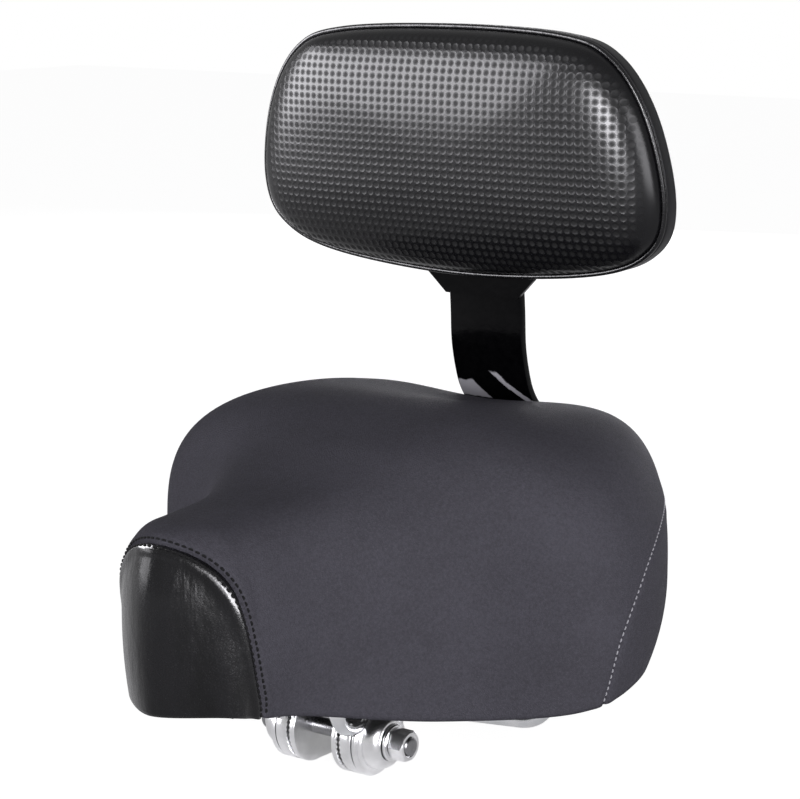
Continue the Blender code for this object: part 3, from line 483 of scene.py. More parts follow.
BOLT_RADIUS = 4.0
HEAD_SEAT = -35.4
HEAD_FACE = -40.4
NUT_SEAT = 35.4
NUT_FACE = 43.4
BOLT_END = 44.8
THREAD_PITCH = 1.25
THREAD_DEPTH = 0.62
THREAD_START = -12.0
NUT_ACROSS_FLATS = 13.0
WASHER_RADIUS = 8.5


def bolt_profile():
    profile = [(0.1, HEAD_FACE), (3.0, HEAD_FACE + 0.1), (5.2, HEAD_FACE + 0.8), (6.7, HEAD_FACE + 1.9)]
    profile += [(7.4, HEAD_FACE + 3.4), (7.5, HEAD_SEAT - 0.3), (7.3, HEAD_SEAT), (BOLT_RADIUS, HEAD_SEAT)]
    profile.append((BOLT_RADIUS, THREAD_START))
    along = THREAD_START
    while along < BOLT_END - 1.5:
        profile.append((BOLT_RADIUS - THREAD_DEPTH, along + THREAD_PITCH / 2))
        profile.append((BOLT_RADIUS - 0.05, along + THREAD_PITCH))
        along += THREAD_PITCH
    return profile + [(BOLT_RADIUS - 0.8, BOLT_END - 0.2), (2.6, BOLT_END), (0.1, BOLT_END + 0.02)]


bolt = piece("bolt_with_thread", *turned(bolt_profile(), (0, BOLT_Y, BOLT_Z), sides=48), "clamp", 25.0)
dark_steel = zinc_plate("dark_plate", (0.3, 0.3, 0.31, 1.0), 0.26)
dark_steel.dress(bolt)
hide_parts("clamp_bolt")


def hexagon_nut():
    """Six flats whose corners are turned off at both faces, with a countersunk thread."""
    half_flats = NUT_ACROSS_FLATS / 2
    steps = 10
    ring_count = 6 * steps
    verts = []
    for along in (NUT_SEAT, NUT_FACE):
        inward = 1 if along == NUT_SEAT else -1
        for ring_radius, flat in ((4.1, 0), (5.0, 0), (6.35, 0), (None, 1)):
            for i in range(ring_count):
                angle = 2 * math.pi * i / ring_count
                within = (i % steps) / steps * math.pi / 3 - math.pi / 6
                rim = half_flats / math.cos(within)
                reach = rim if flat else ring_radius
                drop = inward * max(0.0, (rim - 6.4)) * 0.85 if flat else 0.0
                dip = inward * 0.7 if ring_radius == 4.1 else 0.0
                across, up = reach * math.cos(angle), reach * math.sin(angle)
                verts.append((along + drop + dip, BOLT_Y + across, BOLT_Z + up))
    faces = []
    order = (0, 1, 2, 3, 7, 6, 5, 4)
    for low, high in zip(order, order[1:] + order[:1]):
        first, second = low * ring_count, high * ring_count
        for i in range(ring_count):
            j = (i + 1) % ring_count
            faces.append((first + i, first + j, second + j, second + i))
    return verts, faces


nut = piece("hexagon_nut", *hexagon_nut(), "clamp", 22.0)
zinc.dress(nut)
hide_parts("clamp_nut")

for side_name, side in (("left", -1), ("right", 1)):
    disc = turned(rounded(WASHER_RADIUS, 33.5, 35.1, 0.4, foot=4.4), (0, BOLT_Y, BOLT_Z), (side, 0, 0), 64)
    washer = piece("washer_" + side_name + "_ring", *disc, "clamp")
    zinc.dress(washer)
    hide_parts("washer_" + side_name)


# The rails: two lengths of 7 mm spring-steel wire, bent cold and bright-plated. They drop from the
# nose socket into the clamp, run straight through the cups and sweep out to sockets under the wings.

RAIL_CORNERS = (
    (11.5, -117.8, 59.0),
    (21.2, -58.0, 41.0),
    (RAIL_ACROSS, -51.0, RAIL_HEIGHT),
    (RAIL_ACROSS, -4.3, RAIL_HEIGHT),
    (80.0, 17.2, 24.0),
    (87.5, 23.2, 34.0),
    (88.0, 24.2, 58.0),
)
RAIL_BEND_REACH = 7.0


def bent_path(corners, reach, share=0.42, steps=10):
    """The corners joined by straight runs with a smooth bend at each."""
    corners = np.array(corners, float)
    path = [corners[0]]
    for before, corner, after in zip(corners, corners[1:], corners[2:]):
        back, on = before - corner, after - corner
        start = corner + back * min(share, reach / np.linalg.norm(back))
        end = corner + on * min(share, reach / np.linalg.norm(on))
        for t in np.linspace(0, 1, steps):
            path.append(start * (1 - t) ** 2 + corner * 2 * t * (1 - t) + end * t**2)
    path.append(corners[-1])
    return np.array(path)


def tube(path, radius, sides=24, closed=False):
    """Points and faces of a round tube along a path."""
    path = np.array(path, float)
    if closed:
        steps = np.roll(path, -1, axis=0) - path
        steps /= np.linalg.norm(steps, axis=1)[:, None]
        tangents = steps + np.roll(steps, 1, axis=0)
    else:
        steps = np.diff(path, axis=0)
        steps /= np.linalg.norm(steps, axis=1)[:, None]
        tangents = np.vstack([steps[:1], steps[:-1] + steps[1:], steps[-1:]])
    side = np.cross(tangents[0], (0.01, 0.02, 1.0))
    verts = []
    for point, tangent in zip(path, tangents):
        tangent = tangent / np.linalg.norm(tangent)
        side = side - tangent * np.dot(side, tangent)
        side /= np.linalg.norm(side)
        up = np.cross(tangent, side)
        for i in range(sides):
            turn = 2 * math.pi * i / sides
            verts.append(point + (side * math.cos(turn) + up * math.sin(turn)) * radius)
    faces = ring_faces(len(path), sides, not closed)
    if closed:
        last = (len(path) - 1) * sides
        faces += [(last + i, last + (i + 1) % sides, (i + 1) % sides, i) for i in range(sides)]
    return verts, faces


bright = Finish("bright_plate", {"Metallic": 1.0})
smear = bright.place.noise(90.0, 4.0)
draw_lines = bright.place.stretched(1.0, 0.05, 1.0).noise(3000.0, 2.0)
bright.feed("Base Color", smear.between(0.35, 0.7).blend((0.72, 0.73, 0.75, 1.0), (0.88, 0.88, 0.89, 1.0)))
bright.feed("Roughness", 0.1 + smear * 0.12 + draw_lines * 0.05)
bright.relief(draw_lines, 0.00002, 0.5)
for side_name, side in (("left", -1), ("right", 1)):
    corners = [(side * x, y, z) for x, y, z in RAIL_CORNERS]
    rail = piece("wire_" + side_name, *tube(bent_path(corners, RAIL_BEND_REACH), RAIL_RADIUS), "saddle")
    bright.dress(rail)
    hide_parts("rail_" + side_name)


# The moulded base: a black polypropylene tray that backs the foam, with a moulded rail socket under the
# nose, and one under each wing held by two pan-head screws. The small screws and bolts are zinc-plated.

plastic = Finish("moulded_black", {"Specular IOR Level": 0.45})
texture = plastic.place.cells(900.0)
flow = plastic.place.noise(30.0, 3.0)
scuffs = plastic.place.noise(420.0, 5.0, 0.65)
plastic.feed("Base Color", flow.between(0.3, 0.75).blend(rgb(22, 22, 24), rgb(34, 34, 36)))
plastic.feed("Roughness", 0.46 + scuffs * 0.22)
plastic.relief(texture.between(0.0, 0.35) + scuffs * 0.4, 0.00008, 0.7)
for name in ("seat_base", "nose_socket", "rear_socket_left", "rear_socket_right", "backrest_board"):
    plastic.dress(nodes[name])
for name in sorted(nodes):
    if name.startswith(("socket_screw_", "plate_screw_", "post_bolt_", "bar_bolt_")):
        zinc.dress(nodes[name])


# The seat cushion: moulded foam glued to the base, under a cover sewn from three panels, which is pulled
# tight over the edge. The top and rear panels are matte charcoal leatherette, and the nose is gloss black.

# half-width, y, skirt bottom z, widest level z, y of the centre line
RIM = (
    (0.0, -157.2, 56.4, 89.2, -132.8),
    (29.3, -139.5, 56.4, 89.2, -126.0),
    (34.6, -120.8, 52.3, 89.2, -116.8),
    (41.5, -84.3, 43.8, 90.2, -76.6),
    (73.8, -35.1, 35.3, 91.2, -41.6),
    (123.5, -4.5, 40.2, 88.5, 3.4),
    (130.1, 35.3, 45.1, 85.8, 33.4),
    (108.3, 85.5, 47.4, 88.0, 55.4),
    (72.0, 113.2, 56.9, 108.0, 65.4),
    (0.0, 116.2, 60.5, 113.8, 69.4),
)
CENTRE_LINE = ((-137.2, 135.7), (-71.6, 141.1), (-26.6, 155.4), (23.4, 165.1), (69.4, 155.6))
CHEEK = (110.0, 96.9)
CHEEK_RISE = 14.9
CHEEK_SPREAD = 57.0
CROWN_EDGE, CROWN_TOP = 3.1, 3.0
SKIRT_TUCK = 8.0
NOSE_TUCK = 2.5
COVER_THICKNESS = 1.3


def smooth_through(points, steps, mirrored=False):
    """Smooth curve through the points; a mirrored one crosses x = 0 without a corner."""
    points = np.array(points, float)
    first, last = 2 * points[0] - points[1], 2 * points[-1] - points[-2]
    if mirrored:
        first, last = points[1].copy(), points[-2].copy()
        first[0], last[0] = -first[0], -last[0]
    points = np.vstack([[first], points, [last]])
    rows = []
    for i in range(1, len(points) - 2):
        a, b, c, d = points[i - 1 : i + 3]
        for t in np.arange(steps) / steps:
            bend = (2 * a - 5 * b + 4 * c - d) * t**2 + (3 * b - a - 3 * c + d) * t**3
            rows.append(0.5 * (2 * b + (c - a) * t + bend))
    rows.append(points[-2])
    return np.array(rows)


def whole_ring(half):
    """Half rings from front to back become whole rings, the left side mirrored."""
    other = half[:, -2:0:-1].copy()
    other[:, :, 0] *= -1
    return np.concatenate([half, other], axis=1)


def seat_rings(rim_steps, top_rows, skirt_rows):
    """Rings of points from the centre line down to the skirt's edge."""
    x, y, bottom, widest, spine = smooth_through(RIM, rim_steps, True).T
    x[0] = x[-1] = 0.0
    line = smooth_through(CENTRE_LINE, 36)
    height = np.interp(spine, line[:, 0], line[:, 1])
    rows = []
    for t in np.linspace(1.0, 0.0, top_rows):
        across = 1 - (0.75 * t**3 + 0.25 * t**2)
        rise = (1 - across**CROWN_EDGE) ** (1 / CROWN_TOP)
        row_x, row_y = x * across, spine + (y - spine) * across
        away = (row_x - CHEEK[0]) ** 2 + (row_y - CHEEK[1]) ** 2
        cheek = CHEEK_RISE * np.exp(-away / CHEEK_SPREAD**2) * rise
        rows.append(np.stack([row_x, row_y, widest + (height - widest) * rise + cheek], -1))
    reach = np.maximum(np.hypot(x, y - spine), 20.0)
    tuck = SKIRT_TUCK - (SKIRT_TUCK - NOSE_TUCK) * np.clip((-100.0 - y) / 30.0, 0.0, 1.0)
    for down in np.linspace(0.0, 1.0, skirt_rows)[1:]:
        shrink = 1 - tuck * down**2 / reach
        row_z = widest + (bottom - widest) * down
        rows.append(np.stack([x * shrink, spine + (y - spine) * shrink, row_z], -1))
    return whole_ring(np.array(rows))


def normals_of(verts, quads):
    """Normals at the points, shared where points coincide."""
    verts = np.array(verts, float)
    quads = np.array(quads)
    across = np.cross(verts[quads[:, 2]] - verts[quads[:, 0]], verts[quads[:, 3]] - verts[quads[:, 1]])
    _, same = np.unique(np.round(verts, 3), axis=0, return_inverse=True)
    same = same.reshape(-1)
    total = np.zeros((same.max() + 1, 3))
    for corner in range(4):
        np.add.at(total, same[quads[:, corner]], across)
    normal = total[same]
    return normal / np.maximum(np.linalg.norm(normal, axis=1), 1e-9)[:, None]


def side_of(seam, y, z):
    """Signed distance from a seam drawn in side view, positive to its left as it runs."""
    seam = np.array(seam, float)
    best = np.full(len(y), 1e9)
    signed = np.zeros(len(y))
    for number, (start, end) in enumerate(zip(seam, seam[1:])):
        run = end - start
        t = ((y - start[0]) * run[0] + (z - start[1]) * run[1]) / (run @ run)
        low = -1e9 if number == 0 else 0.0
        high = 1e9 if number == len(seam) - 2 else 1.0
        t = np.clip(t, low, high)
        dy, dz = y - start[0] - t * run[0], z - start[1] - t * run[1]
        distance = np.hypot(dy, dz)
        nearer = distance < best
        best = np.where(nearer, distance, best)
        signed = np.where(nearer, np.sign(run[0] * dz - run[1] * dy) * distance, signed)
    return signed


NOSE_SEAM = (
    (-116.0, 30.0),
    (-118.2, 55.0),
    (-123.0, 70.4),
    (-129.6, 95.0),
    (-133.0, 106.0),
    (-136.8, 115.0),
    (-140.6, 122.0),
    (-144.4, 126.6),
    (-148.2, 129.6),
    (-152.0, 131.4),
    (-160.0, 133.4),
)
TAIL_SEAM = smooth_through(
    (
        (9.2, 30.0),
        (9.7, 64.0),
        (14.0, 79.5),
        (23.0, 93.5),
        (34.2, 104.6),
        (48.0, 112.2),
        (64.0, 117.0),
        (81.0, 119.6),
        (98.0, 120.8),
        (115.0, 121.4),
        (132.0, 121.8),
    ),
    6,
)


def split(points, faces, field, level=0.0):
    """Cuts faces along a field's level line; points are lists by name, and new ones are added in place."""
    cut_at = {}

    def side(v):
        over = points[field][v] - level
        return 0 if abs(over) < 1e-7 else (1 if over > 0 else -1)

    def crossing(a, b):
        key = (min(a, b), max(a, b))
        if key not in cut_at:
            low, high = points[field][a] - level, points[field][b] - level
            share = low / (low - high)
            for name in points:
                points[name].append(points[name][a] * (1 - share) + points[name][b] * share)
            points[field][-1] = level
            cut_at[key] = len(points[field]) - 1
        return cut_at[key]

    above, below = [], []
    for face in faces:
        sides = [side(v) for v in face]
        if min(sides) >= 0:
            above.append(tuple(face))
            continue
        if max(sides) <= 0:
            below.append(tuple(face))
            continue
        up, down = [], []
        for i, v in enumerate(face):
            following = (i + 1) % len(face)
            if sides[i] >= 0:
                up.append(v)
            if sides[i] <= 0:
                down.append(v)
            if sides[i] * sides[following] < 0:
                shared = crossing(v, face[following])
                up.append(shared)
                down.append(shared)
        above.append(tuple(up))
        below.append(tuple(down))
    return above, below


def line_at(points, faces, field, level):
    """Chains of (place, normal) along a field's level line."""
    links = {}
    spots = {}
    for face in faces:
        ends = []
        for i, a in enumerate(face):
            b = face[(i + 1) % len(face)]
            low, high = points[field][a] - level, points[field][b] - level
            if (low > 0) != (high > 0):
                share = low / (low - high)
                place = points["place"][a] * (1 - share) + points["place"][b] * share
                normal = points["normal"][a] * (1 - share) + points["normal"][b] * share
                key = tuple(np.round(place, 2))
                spots[key] = (place, normal)
                ends.append(key)
        if len(ends) == 2 and ends[0] != ends[1]:
            links.setdefault(ends[0], []).append(ends[1])
            links.setdefault(ends[1], []).append(ends[0])
    chains = []
    unused = set(links)
    while unused:
        starts = [k for k in unused if len(links[k]) == 1] or list(unused)
        here = min(starts)
        chain = [here]
        unused.discard(here)
        while True:
            following = [k for k in links[chain[-1]] if k in unused]
            if not following:
                break
            chain.append(following[0])
            unused.discard(following[0])
        if len(chain) > 3:
            chains.append([spots[k] for k in chain])
    return chains


def stitches(chains, pitch, length, thickness, lift):
    """Short rounded threads laid end to end along each chain, sunk a little into the cover."""
    meshes = []
    for chain in chains:
        place = np.array([p for p, _ in chain])
        normal = np.array([n for _, n in chain])
        run = np.concatenate([[0], np.cumsum(np.linalg.norm(np.diff(place, axis=0), axis=1))])
        for middle in np.arange(pitch / 2, run[-1] - pitch / 2, pitch):
            rings = []
            for t in np.linspace(-1, 1, 7):
                at = middle + t * length / 2
                centre = np.array([np.interp(at, run, place[:, k]) for k in range(3)])
                ahead = np.array([np.interp(at + 0.3, run, place[:, k]) for k in range(3)]) - centre
                up = np.array([np.interp(at, run, normal[:, k]) for k in range(3)])
                up /= np.linalg.norm(up)
                across = np.cross(ahead, up)
                across /= max(np.linalg.norm(across), 1e-9)
                radius = thickness / 2 * math.sqrt(max(1 - t**4, 0.04))
                centre = centre + up * (lift - thickness * 0.5 * t**2)
                for i in range(6):
                    turn = math.pi * i / 3
                    rings.append(centre + (across * math.cos(turn) + up * math.sin(turn)) * radius)
            meshes.append((rings, ring_faces(7, 6)))
    return joined(*meshes)


DIP_WIDTH = 0.9
FOLD_AWAY, FOLD_WIDTH = 3.6, 2.5
SEAM_STEPS = (0.35, 0.8, 1.4, 2.1, 3.0, 4.0, 5.2, 6.5)


def seam_dip(distance, depth, fold, inner_fold):
    """How far a seam pulls the cover in, with the folded edges standing a little proud beside it."""
    height = np.where(distance > 0, inner_fold, fold)
    pulled = depth * np.exp(-((distance / DIP_WIDTH) ** 2))
    return height * np.exp(-(((np.abs(distance) - FOLD_AWAY) / FOLD_WIDTH) ** 2)) - pulled


seat_grid = seat_rings(20, 44, 24)
seat_rows, seat_count = seat_grid.shape[:2]
seat_points = seat_grid.reshape(-1, 3)
seat_faces = ring_quads(seat_rows, seat_count)
seat_normal = normals_of(seat_points, seat_faces)
if np.mean(seat_normal[:seat_count, 2]) < 0:
    seat_normal = -seat_normal
nose_side = side_of(smooth_through(NOSE_SEAM, 6), seat_points[:, 1], seat_points[:, 2])
tail_side = side_of(TAIL_SEAM, seat_points[:, 1], seat_points[:, 2])
if nose_side[np.argmin(seat_points[:, 1])] < 0:
    nose_side = -nose_side
if tail_side[np.argmax(seat_points[:, 1])] < 0:
    tail_side = -tail_side
seat = {
    "place": list(seat_points),
    "normal": list(seat_normal),
    "nose": list(nose_side),
    "tail": list(tail_side),
}
for field in ("nose", "tail"):
    for level in [-step for step in SEAM_STEPS[::-1]] + [0.0] + list(SEAM_STEPS):
        above, below = split(seat, seat_faces, field, level)
        seat_faces = above + below
dip = seam_dip(np.array(seat["nose"]), 1.5, 0.5, 1.3) + seam_dip(np.array(seat["tail"]), 0.8, 0.3, 0.3)
seat["place"] = list(np.array(seat["place"]) + np.array(seat["normal"]) * dip[:, None])
nose_faces, other_faces = split(seat, seat_faces, "nose")
tail_faces, cover_faces = split(seat, other_faces, "tail")


def panel(name, faces, node):
    """One sewn panel with the cover's own thickness behind it."""
    used = sorted({v for face in faces for v in face})
    fresh = {old: new for new, old in enumerate(used)}
    mesh = bpy.data.meshes.new(name)
    verts = [tuple(seat["place"][v] * MM) for v in used]
    mesh.from_pydata(verts, [], [tuple(fresh[v] for v in face) for face in faces])
    bm = bmesh.new()
    bm.from_mesh(mesh)
    bmesh.ops.remove_doubles(bm, verts=bm.verts, dist=2e-6)
    bmesh.ops.dissolve_degenerate(bm, edges=bm.edges, dist=1e-6)
    bmesh.ops.recalc_face_normals(bm, faces=bm.faces)
    middle = Vector((0.0, -0.02, 0.08))
    outward = sum(f.normal.dot(f.calc_center_median() - middle) * f.calc_area() for f in bm.faces)
    if outward < 0:
        bmesh.ops.reverse_faces(bm, faces=bm.faces)
    bm.to_mesh(mesh)
    bm.free()
    mesh.polygons.foreach_set("use_smooth", [True] * len(mesh.polygons))
    item = bpy.data.objects.new(name, mesh)
    scene.collection.objects.link(item)
    thick = item.modifiers.new("thickness", "SOLIDIFY")
    thick.thickness = COVER_THICKNESS * MM
    thick.offset = -1.0
    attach(item, "saddle")
    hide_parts(*node)
    return item


seat_top = panel("cover_top", cover_faces, ("seat_cover", "seat_foam"))
seat_nose = panel("cover_nose", nose_faces, ("nose_panel",))
seat_rear = panel("cover_rear", tail_faces, ("rear_panel",))


def leather_grain(finish, size):
    """Fine rounded pebbles of two sizes, with soft hollows between them."""
    warp = finish.place.noise(260.0, 2.0)
    pebbles = finish.place.cells(1000.0 / size).between(0.0, 0.32)
    small = finish.place.cells(2100.0 / size).between(0.0, 0.4)
    return pebbles * 0.7 + small * 0.4 + warp * 0.5


matte = Finish("matte_leatherette", {"Specular IOR Level": 0.012})
grain = leather_grain(matte, 1.0)
shade = matte.place.noise(22.0, 4.0, 0.55)
speckle = matte.place.noise(800.0, 2.0, 0.6)
tone = (shade * 0.3 + speckle * 0.55 + grain * 0.15).between(0.3, 0.75)
matte.feed("Base Color", tone.blend(rgb(66, 65, 70), rgb(81, 80, 87)))
matte.feed("Roughness", 0.62 - grain * 0.1 + shade * 0.06)
matte.relief(grain + shade * 1.5, 0.00028, 0.7)
matte.dress(seat_top, seat_rear)

gloss = Finish("gloss_leatherette", {"Specular IOR Level": 0.2, "Coat Roughness": 0.12})
creases = gloss.place.stretched(1.0, 1.0, 0.35).noise(60.0, 4.0, 0.55)
fine = leather_grain(gloss, 1.3)
gloss.feed("Base Color", creases.between(0.3, 0.7).blend(rgb(12, 12, 13), rgb(20, 20, 22)))
gloss.feed("Roughness", 0.2 + fine * 0.08)
gloss.feed("Coat Weight", 0.1 + creases * 0.15)
gloss.relief(creases * 6.0 + fine * 0.1, 0.0003, 0.8)
gloss.dress(seat_nose)
shade_off(nose_lamps, seat_nose)


def sewing_thread(name, low, high, roughness):
    """Twisted thread, its strands running slantwise."""
    finish = Finish(name, {"Roughness": roughness, "Specular IOR Level": 0.3})
    twist = finish.place.waves(900.0)
    finish.feed("Base Color", twist.blend(low, high))
    finish.relief(twist, 0.0001, 0.6)
    return finish


# pitch, length and thickness of a stitch, and how high it lies
NOSE_STITCH = (3.1, 2.5, 1.1, 0.3)
REAR_STITCH = (2.9, 2.2, 0.75, 0.2)

thread = sewing_thread("dark_thread", rgb(5, 5, 6), rgb(14, 13, 16), 0.7)
pale_thread = sewing_thread("pale_thread", rgb(140, 139, 144), rgb(182, 181, 186), 0.65)
nose_rows = line_at(seat, seat_faces, "nose", 2.0) + line_at(seat, seat_faces, "nose", -1.75)
nose_thread = piece("nose_stitches", *stitches(nose_rows, *NOSE_STITCH), "saddle")
thread.dress(nose_thread)
tail_rows = line_at(seat, seat_faces, "tail", -1.25)
tail_thread = piece("rear_stitches", *stitches(tail_rows, *REAR_STITCH), "saddle")
pale_thread.dress(tail_thread)


# The backrest post: a flat steel bar bent behind the saddle and painted gloss black, bolted under the
# base through two spacers. A bright patch and a streak on the front of its bend are painted reflections.

# Where the painted reflection lies on the front of the bend: a low patch and a slanted streak, in metres.
PATCH_LEFT, PATCH_RIGHT = (-0.0206, -0.0198), (-0.003, -0.0018)
PATCH_LOW, PATCH_HIGH = (0.1535, 0.1545), (0.1625, 0.1635)
PATCH_SLANT = 0.9
STREAK_X, STREAK_Z = 0.0105, 0.1615
STREAK_LOW, STREAK_HIGH = (0.153, 0.1545), (0.1675, 0.169)
STREAK_SLANT = 1.28


def banded(value, low, high):
    """1 between two soft limits and 0 outside them."""
    return value.between(*low) * (1.0 - value.between(*high))


paint = Finish("gloss_paint", {"Specular IOR Level": 0.07, "Coat Roughness": 0.05})
orange_peel = paint.place.noise(330.0, 2.0)
dust = paint.place.noise(1500.0, 3.0, 0.7)
sideways = paint.place.part(0)
height = paint.place.part(2) + paint.place.noise(160.0, 2.0) * 0.003
slanted = sideways + (height - STREAK_LOW[0]) * PATCH_SLANT
low_patch = sideways.between(*PATCH_LEFT) * (1.0 - slanted.between(*PATCH_RIGHT))
low_patch = low_patch * banded(height, PATCH_LOW, PATCH_HIGH)
off_streak = (sideways - STREAK_X + (height - STREAK_Z) * STREAK_SLANT).size()
streak = (1.0 - off_streak.between(0.0014, 0.0026)) * banded(height, STREAK_LOW, STREAK_HIGH)
facing_back = paint.place.node("ShaderNodeTexCoord", out=1).part(1)
# Painted reflection: the patch and the streak turn pale, standing in for the studio's reflection on the bend.
painted_reflection = low_patch.maths("MAXIMUM", low_patch, streak) * (1.0 - facing_back.between(-0.4, -0.1))
black = orange_peel.between(0.3, 0.7).blend(rgb(3, 3, 4), rgb(6, 6, 7))
paint.feed("Base Color", painted_reflection.blend(black, rgb(168, 167, 172)))
paint.feed("Roughness", 0.1 + dust * 0.08 + painted_reflection * 0.2)
paint.feed("Coat Weight", 0.01 + orange_peel * 0.03)
paint.relief(orange_peel * 2.0 + dust * 0.2, 0.00008, 0.5)

BAR_HALF_WIDTH = 21.0
BAR_THICKNESS = 4.5
BAR_EDGE = 0.8
BAR_Z = 56.4
REST_LEAN = 0.12
REST_MIDDLE_Z = 269.9
RIM_Y = 70.0
BAR_BEHIND_RIM = 15.35


def bar_centre(z):
    return RIM_Y - REST_LEAN * (z - REST_MIDDLE_Z) + BAR_BEHIND_RIM / math.cos(math.atan(REST_LEAN))


def bar_line():
    """The bent bar's centre line, seen from the side."""
    corners = [(25.2, BAR_Z), (60.0, BAR_Z), (106.2, BAR_Z)]
    for angle in range(-80, 1, 10):
        turn = math.radians(angle)
        corners.append((106.2 + 19.5 * math.cos(turn), 75.9 + 19.5 * math.sin(turn)))
    corners += [(125.8, 94.0), (125.8, 112.0), (123.4, 127.0), (118.0, 139.0), (111.2, 147.2), (105.4, 153.4)]
    corners += [(101.0, 160.0), (98.1, 167.5), (95.8, 176.0), (94.4, 185.0)]
    corners += [(bar_centre(z), z) for z in (205.0, 240.0, 280.0, 306.0)]
    return smooth_through(corners, 4)


def bar_mesh():
    path = bar_line()
    along = np.gradient(path, axis=0)
    along /= np.hypot(*along.T)[:, None]
    away = np.stack([-along[:, 1], along[:, 0]], -1)
    section = flat_section(BAR_HALF_WIDTH, BAR_THICKNESS / 2, BAR_EDGE)
    verts = [(x, *(p + side * t)) for p, side in zip(path, away) for x, t in section]
    return verts, ring_faces(len(path), len(section))


bar = piece("bent_bar", *bar_mesh(), "saddle")
paint.dress(bar)
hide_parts("backrest_post")
paint.dress(nodes["backrest_plate"])


# The backrest's shell: a moulded black tray behind the pad, screwed to the steel plate, with a
# smooth rolled rim that shows as a dark band round the cushion.

REST_OUTLINE = (
    (0.0, 337.3),
    (62.0, 334.6),
    (90.0, 325.0),
    (108.3, 298.3),
    (115.9, 259.4),
    (106.0, 236.0),
    (72.5, 223.0),
    (0.0, 217.2),
)
REST_BULGE = 22.0
REST_SECTION = 2.35
PAD_INSET = 2.0
SHELL_DEPTH = 10.0
SHELL_EDGE = 3.0


def rest_outline(inset, steps=16):
    """Half outline of the backrest, drawn in by the inset."""
    x, z = smooth_through(REST_OUTLINE, steps, True).T.copy()
    x[0] = x[-1] = 0.0
    full_x = np.concatenate([[-x[1]], x, [-x[-2]]])
    full_z = np.concatenate([[z[1]], z, [z[-2]]])
    along = np.stack([full_x[2:] - full_x[:-2], full_z[2:] - full_z[:-2]])
    along /= np.hypot(*along)
    x, z = x + along[1] * inset, z - along[0] * inset
    x[0] = x[-1] = 0.0
    return x, z


def rest_plane(x, z):
    return RIM_Y - REST_LEAN * (z - REST_MIDDLE_Z) - 4.0 * (x / 110.0) ** 2


def shell_row(inset, back, share=1.0):
    x, z = rest_outline(inset)
    x, z = x * share, REST_MIDDLE_Z + (z - REST_MIDDLE_Z) * share
    return np.stack([x, rest_plane(x, z) + back, z], -1)


shell_rows = [shell_row(6.0, 6.0, s) for s in (0.0, 0.5, 1.0)] + [shell_row(6.0, 0.9)]
shell_rows += [shell_row(1.2, 0.35), shell_row(0.5, 0.5), shell_row(0.1, 0.9), shell_row(0.0, 1.5)]
edge_start = SHELL_DEPTH - SHELL_EDGE
shell_rows += [shell_row(0.0, 4.0), shell_row(0.1, edge_start)]
for turn in np.linspace(0.25, math.pi / 2, 6):
    inset = SHELL_EDGE - SHELL_EDGE * math.cos(turn)
    shell_rows.append(shell_row(inset, edge_start + SHELL_EDGE * math.sin(turn)))
shell_rows += [shell_row(SHELL_EDGE, SHELL_DEPTH, s) for s in (0.96, 0.8, 0.6, 0.4, 0.2, 0.0)]
shell_grid = whole_ring(np.array(shell_rows))
shell_quads = ring_quads(*shell_grid.shape[:2])
shell = piece("moulded_shell", shell_grid.reshape(-1, 3), shell_quads, "saddle", 50.0)
satin = Finish("satin_shell", {"Specular IOR Level": 0.2})
haze = satin.place.noise(40.0, 4.0)
stipple = satin.place.cells(1500.0)
satin.feed("Base Color", haze.between(0.3, 0.7).blend(rgb(16, 16, 18), rgb(24, 24, 26)))
satin.feed("Roughness", 0.32 + haze * 0.16)
satin.relief(stipple.between(0.0, 0.4), 0.00004, 0.6)
satin.dress(shell)
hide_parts("backrest_shell")


# The backrest cushion: thick foam under glossy black leatherette, which is embossed with a fine square
# grid of dimples and stretched smooth where it turns over the edge.

EMBOSS_ACROSS = 4.05
EMBOSS_UP = 3.7
DIMPLED_HALF_WIDTH = 0.108
DIMPLED_HALF_HEIGHT = 0.0605
DIMPLED_MIDDLE_Z = 0.272
DIMPLED_SQUARENESS = 3.4


def pad_row(across, inset=PAD_INSET, bulge=REST_BULGE):
    x, z = rest_outline(inset)
    rise = max(1 - across**REST_SECTION, 0.0) ** (1 / REST_SECTION)
    row_x, row_z = x * across, REST_MIDDLE_Z + (z - REST_MIDDLE_Z) * across
    return np.stack([row_x, rest_plane(row_x, row_z) - bulge * rise, row_z], -1)


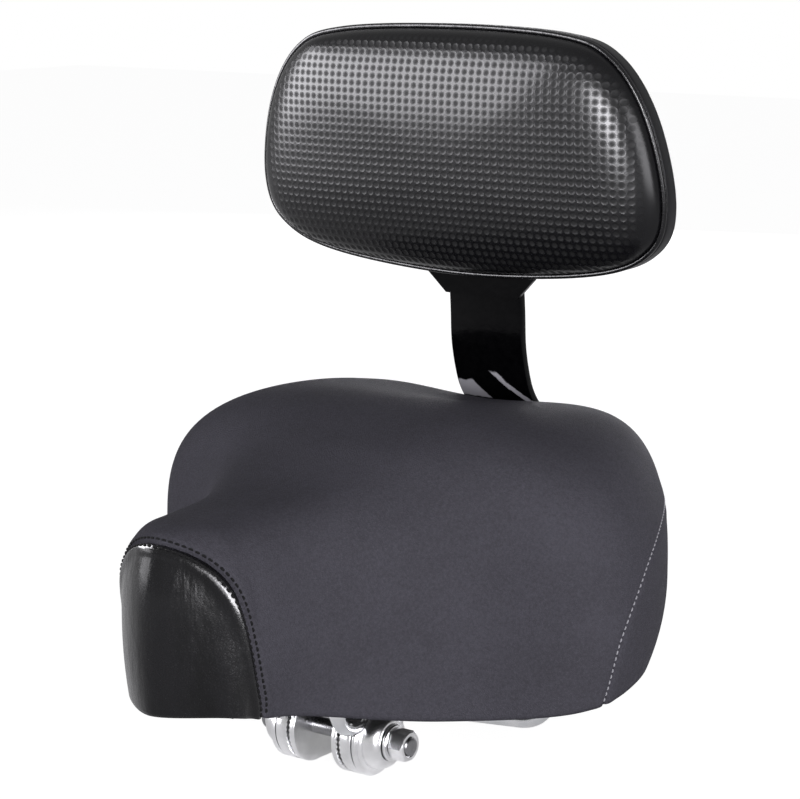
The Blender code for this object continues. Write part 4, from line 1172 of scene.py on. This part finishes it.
pad_grid = [pad_row(1 - (0.6 * t**2.4 + 0.4 * t**2)) for t in np.linspace(1.0, 0.0, 44)]
back_inset = PAD_INSET + 1.0
pad_grid += [shell_row(back_inset, -0.1), shell_row(back_inset, 0.0, 0.5), shell_row(back_inset, 0.0, 0.0)]
pad_rings = whole_ring(np.array(pad_grid))
pad_quads = ring_quads(*pad_rings.shape[:2])
pad = piece("backrest_pad", pad_rings.reshape(-1, 3), pad_quads, "saddle", 70.0)
emboss = Finish("embossed_gloss", {"Specular IOR Level": 0.13, "Coat Roughness": 0.24})
across = emboss.place.part(0) * (1000.0 / EMBOSS_ACROSS)
up = emboss.place.part(2) * (1000.0 / EMBOSS_UP)
off_across = across.maths("FRACT", across) - 0.5
off_up = up.maths("FRACT", up) - 0.5
from_dimple = (off_across * off_across + off_up * off_up) ** 0.5
raised = from_dimple.between(0.16, 0.5)
edge_x = (emboss.place.part(0).size() / DIMPLED_HALF_WIDTH) ** DIMPLED_SQUARENESS
edge_z = ((emboss.place.part(2) - DIMPLED_MIDDLE_Z).size() / DIMPLED_HALF_HEIGHT) ** DIMPLED_SQUARENESS
pressed = 1.0 - (edge_x + edge_z).between(0.72, 1.05)
wander = emboss.place.noise(26.0, 3.0)
pores = emboss.place.noise(1200.0, 2.0)
sunk = (1.0 - raised) * pressed
# The dimples are painted darker than the raised grid: painted shade in the hollows.
emboss.feed("Base Color", sunk.blend(rgb(13, 13, 15), rgb(3, 3, 4)))
emboss.feed("Roughness", 0.24 + sunk * 0.4 + wander * 0.05)
emboss.feed("Coat Weight", (1.0 - sunk) * 0.22 + wander * 0.06)
emboss.relief(wander * 0.4 - sunk + pores * 0.04, 0.00028, 0.85)
emboss.dress(pad)
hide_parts("backrest_cover", "backrest_foam")


# The piping: a thin cord wrapped in the gloss leatherette and sewn into the seam between cushion and
# shell, all the way round.

PIPING_RADIUS = 1.25

pipe_x, pipe_z = rest_outline(1.0, 12)
pipe_half = np.stack([pipe_x, rest_plane(pipe_x, pipe_z) - 1.3, pipe_z], -1)[None]
pipe_path = whole_ring(pipe_half)[0]
piping = piece("piping_cord", *tube(pipe_path, PIPING_RADIUS, 12, True), "saddle", 80.0)
gloss.dress(piping)
shade_off(pad_lamps, pad, piping)
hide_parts("backrest_piping")
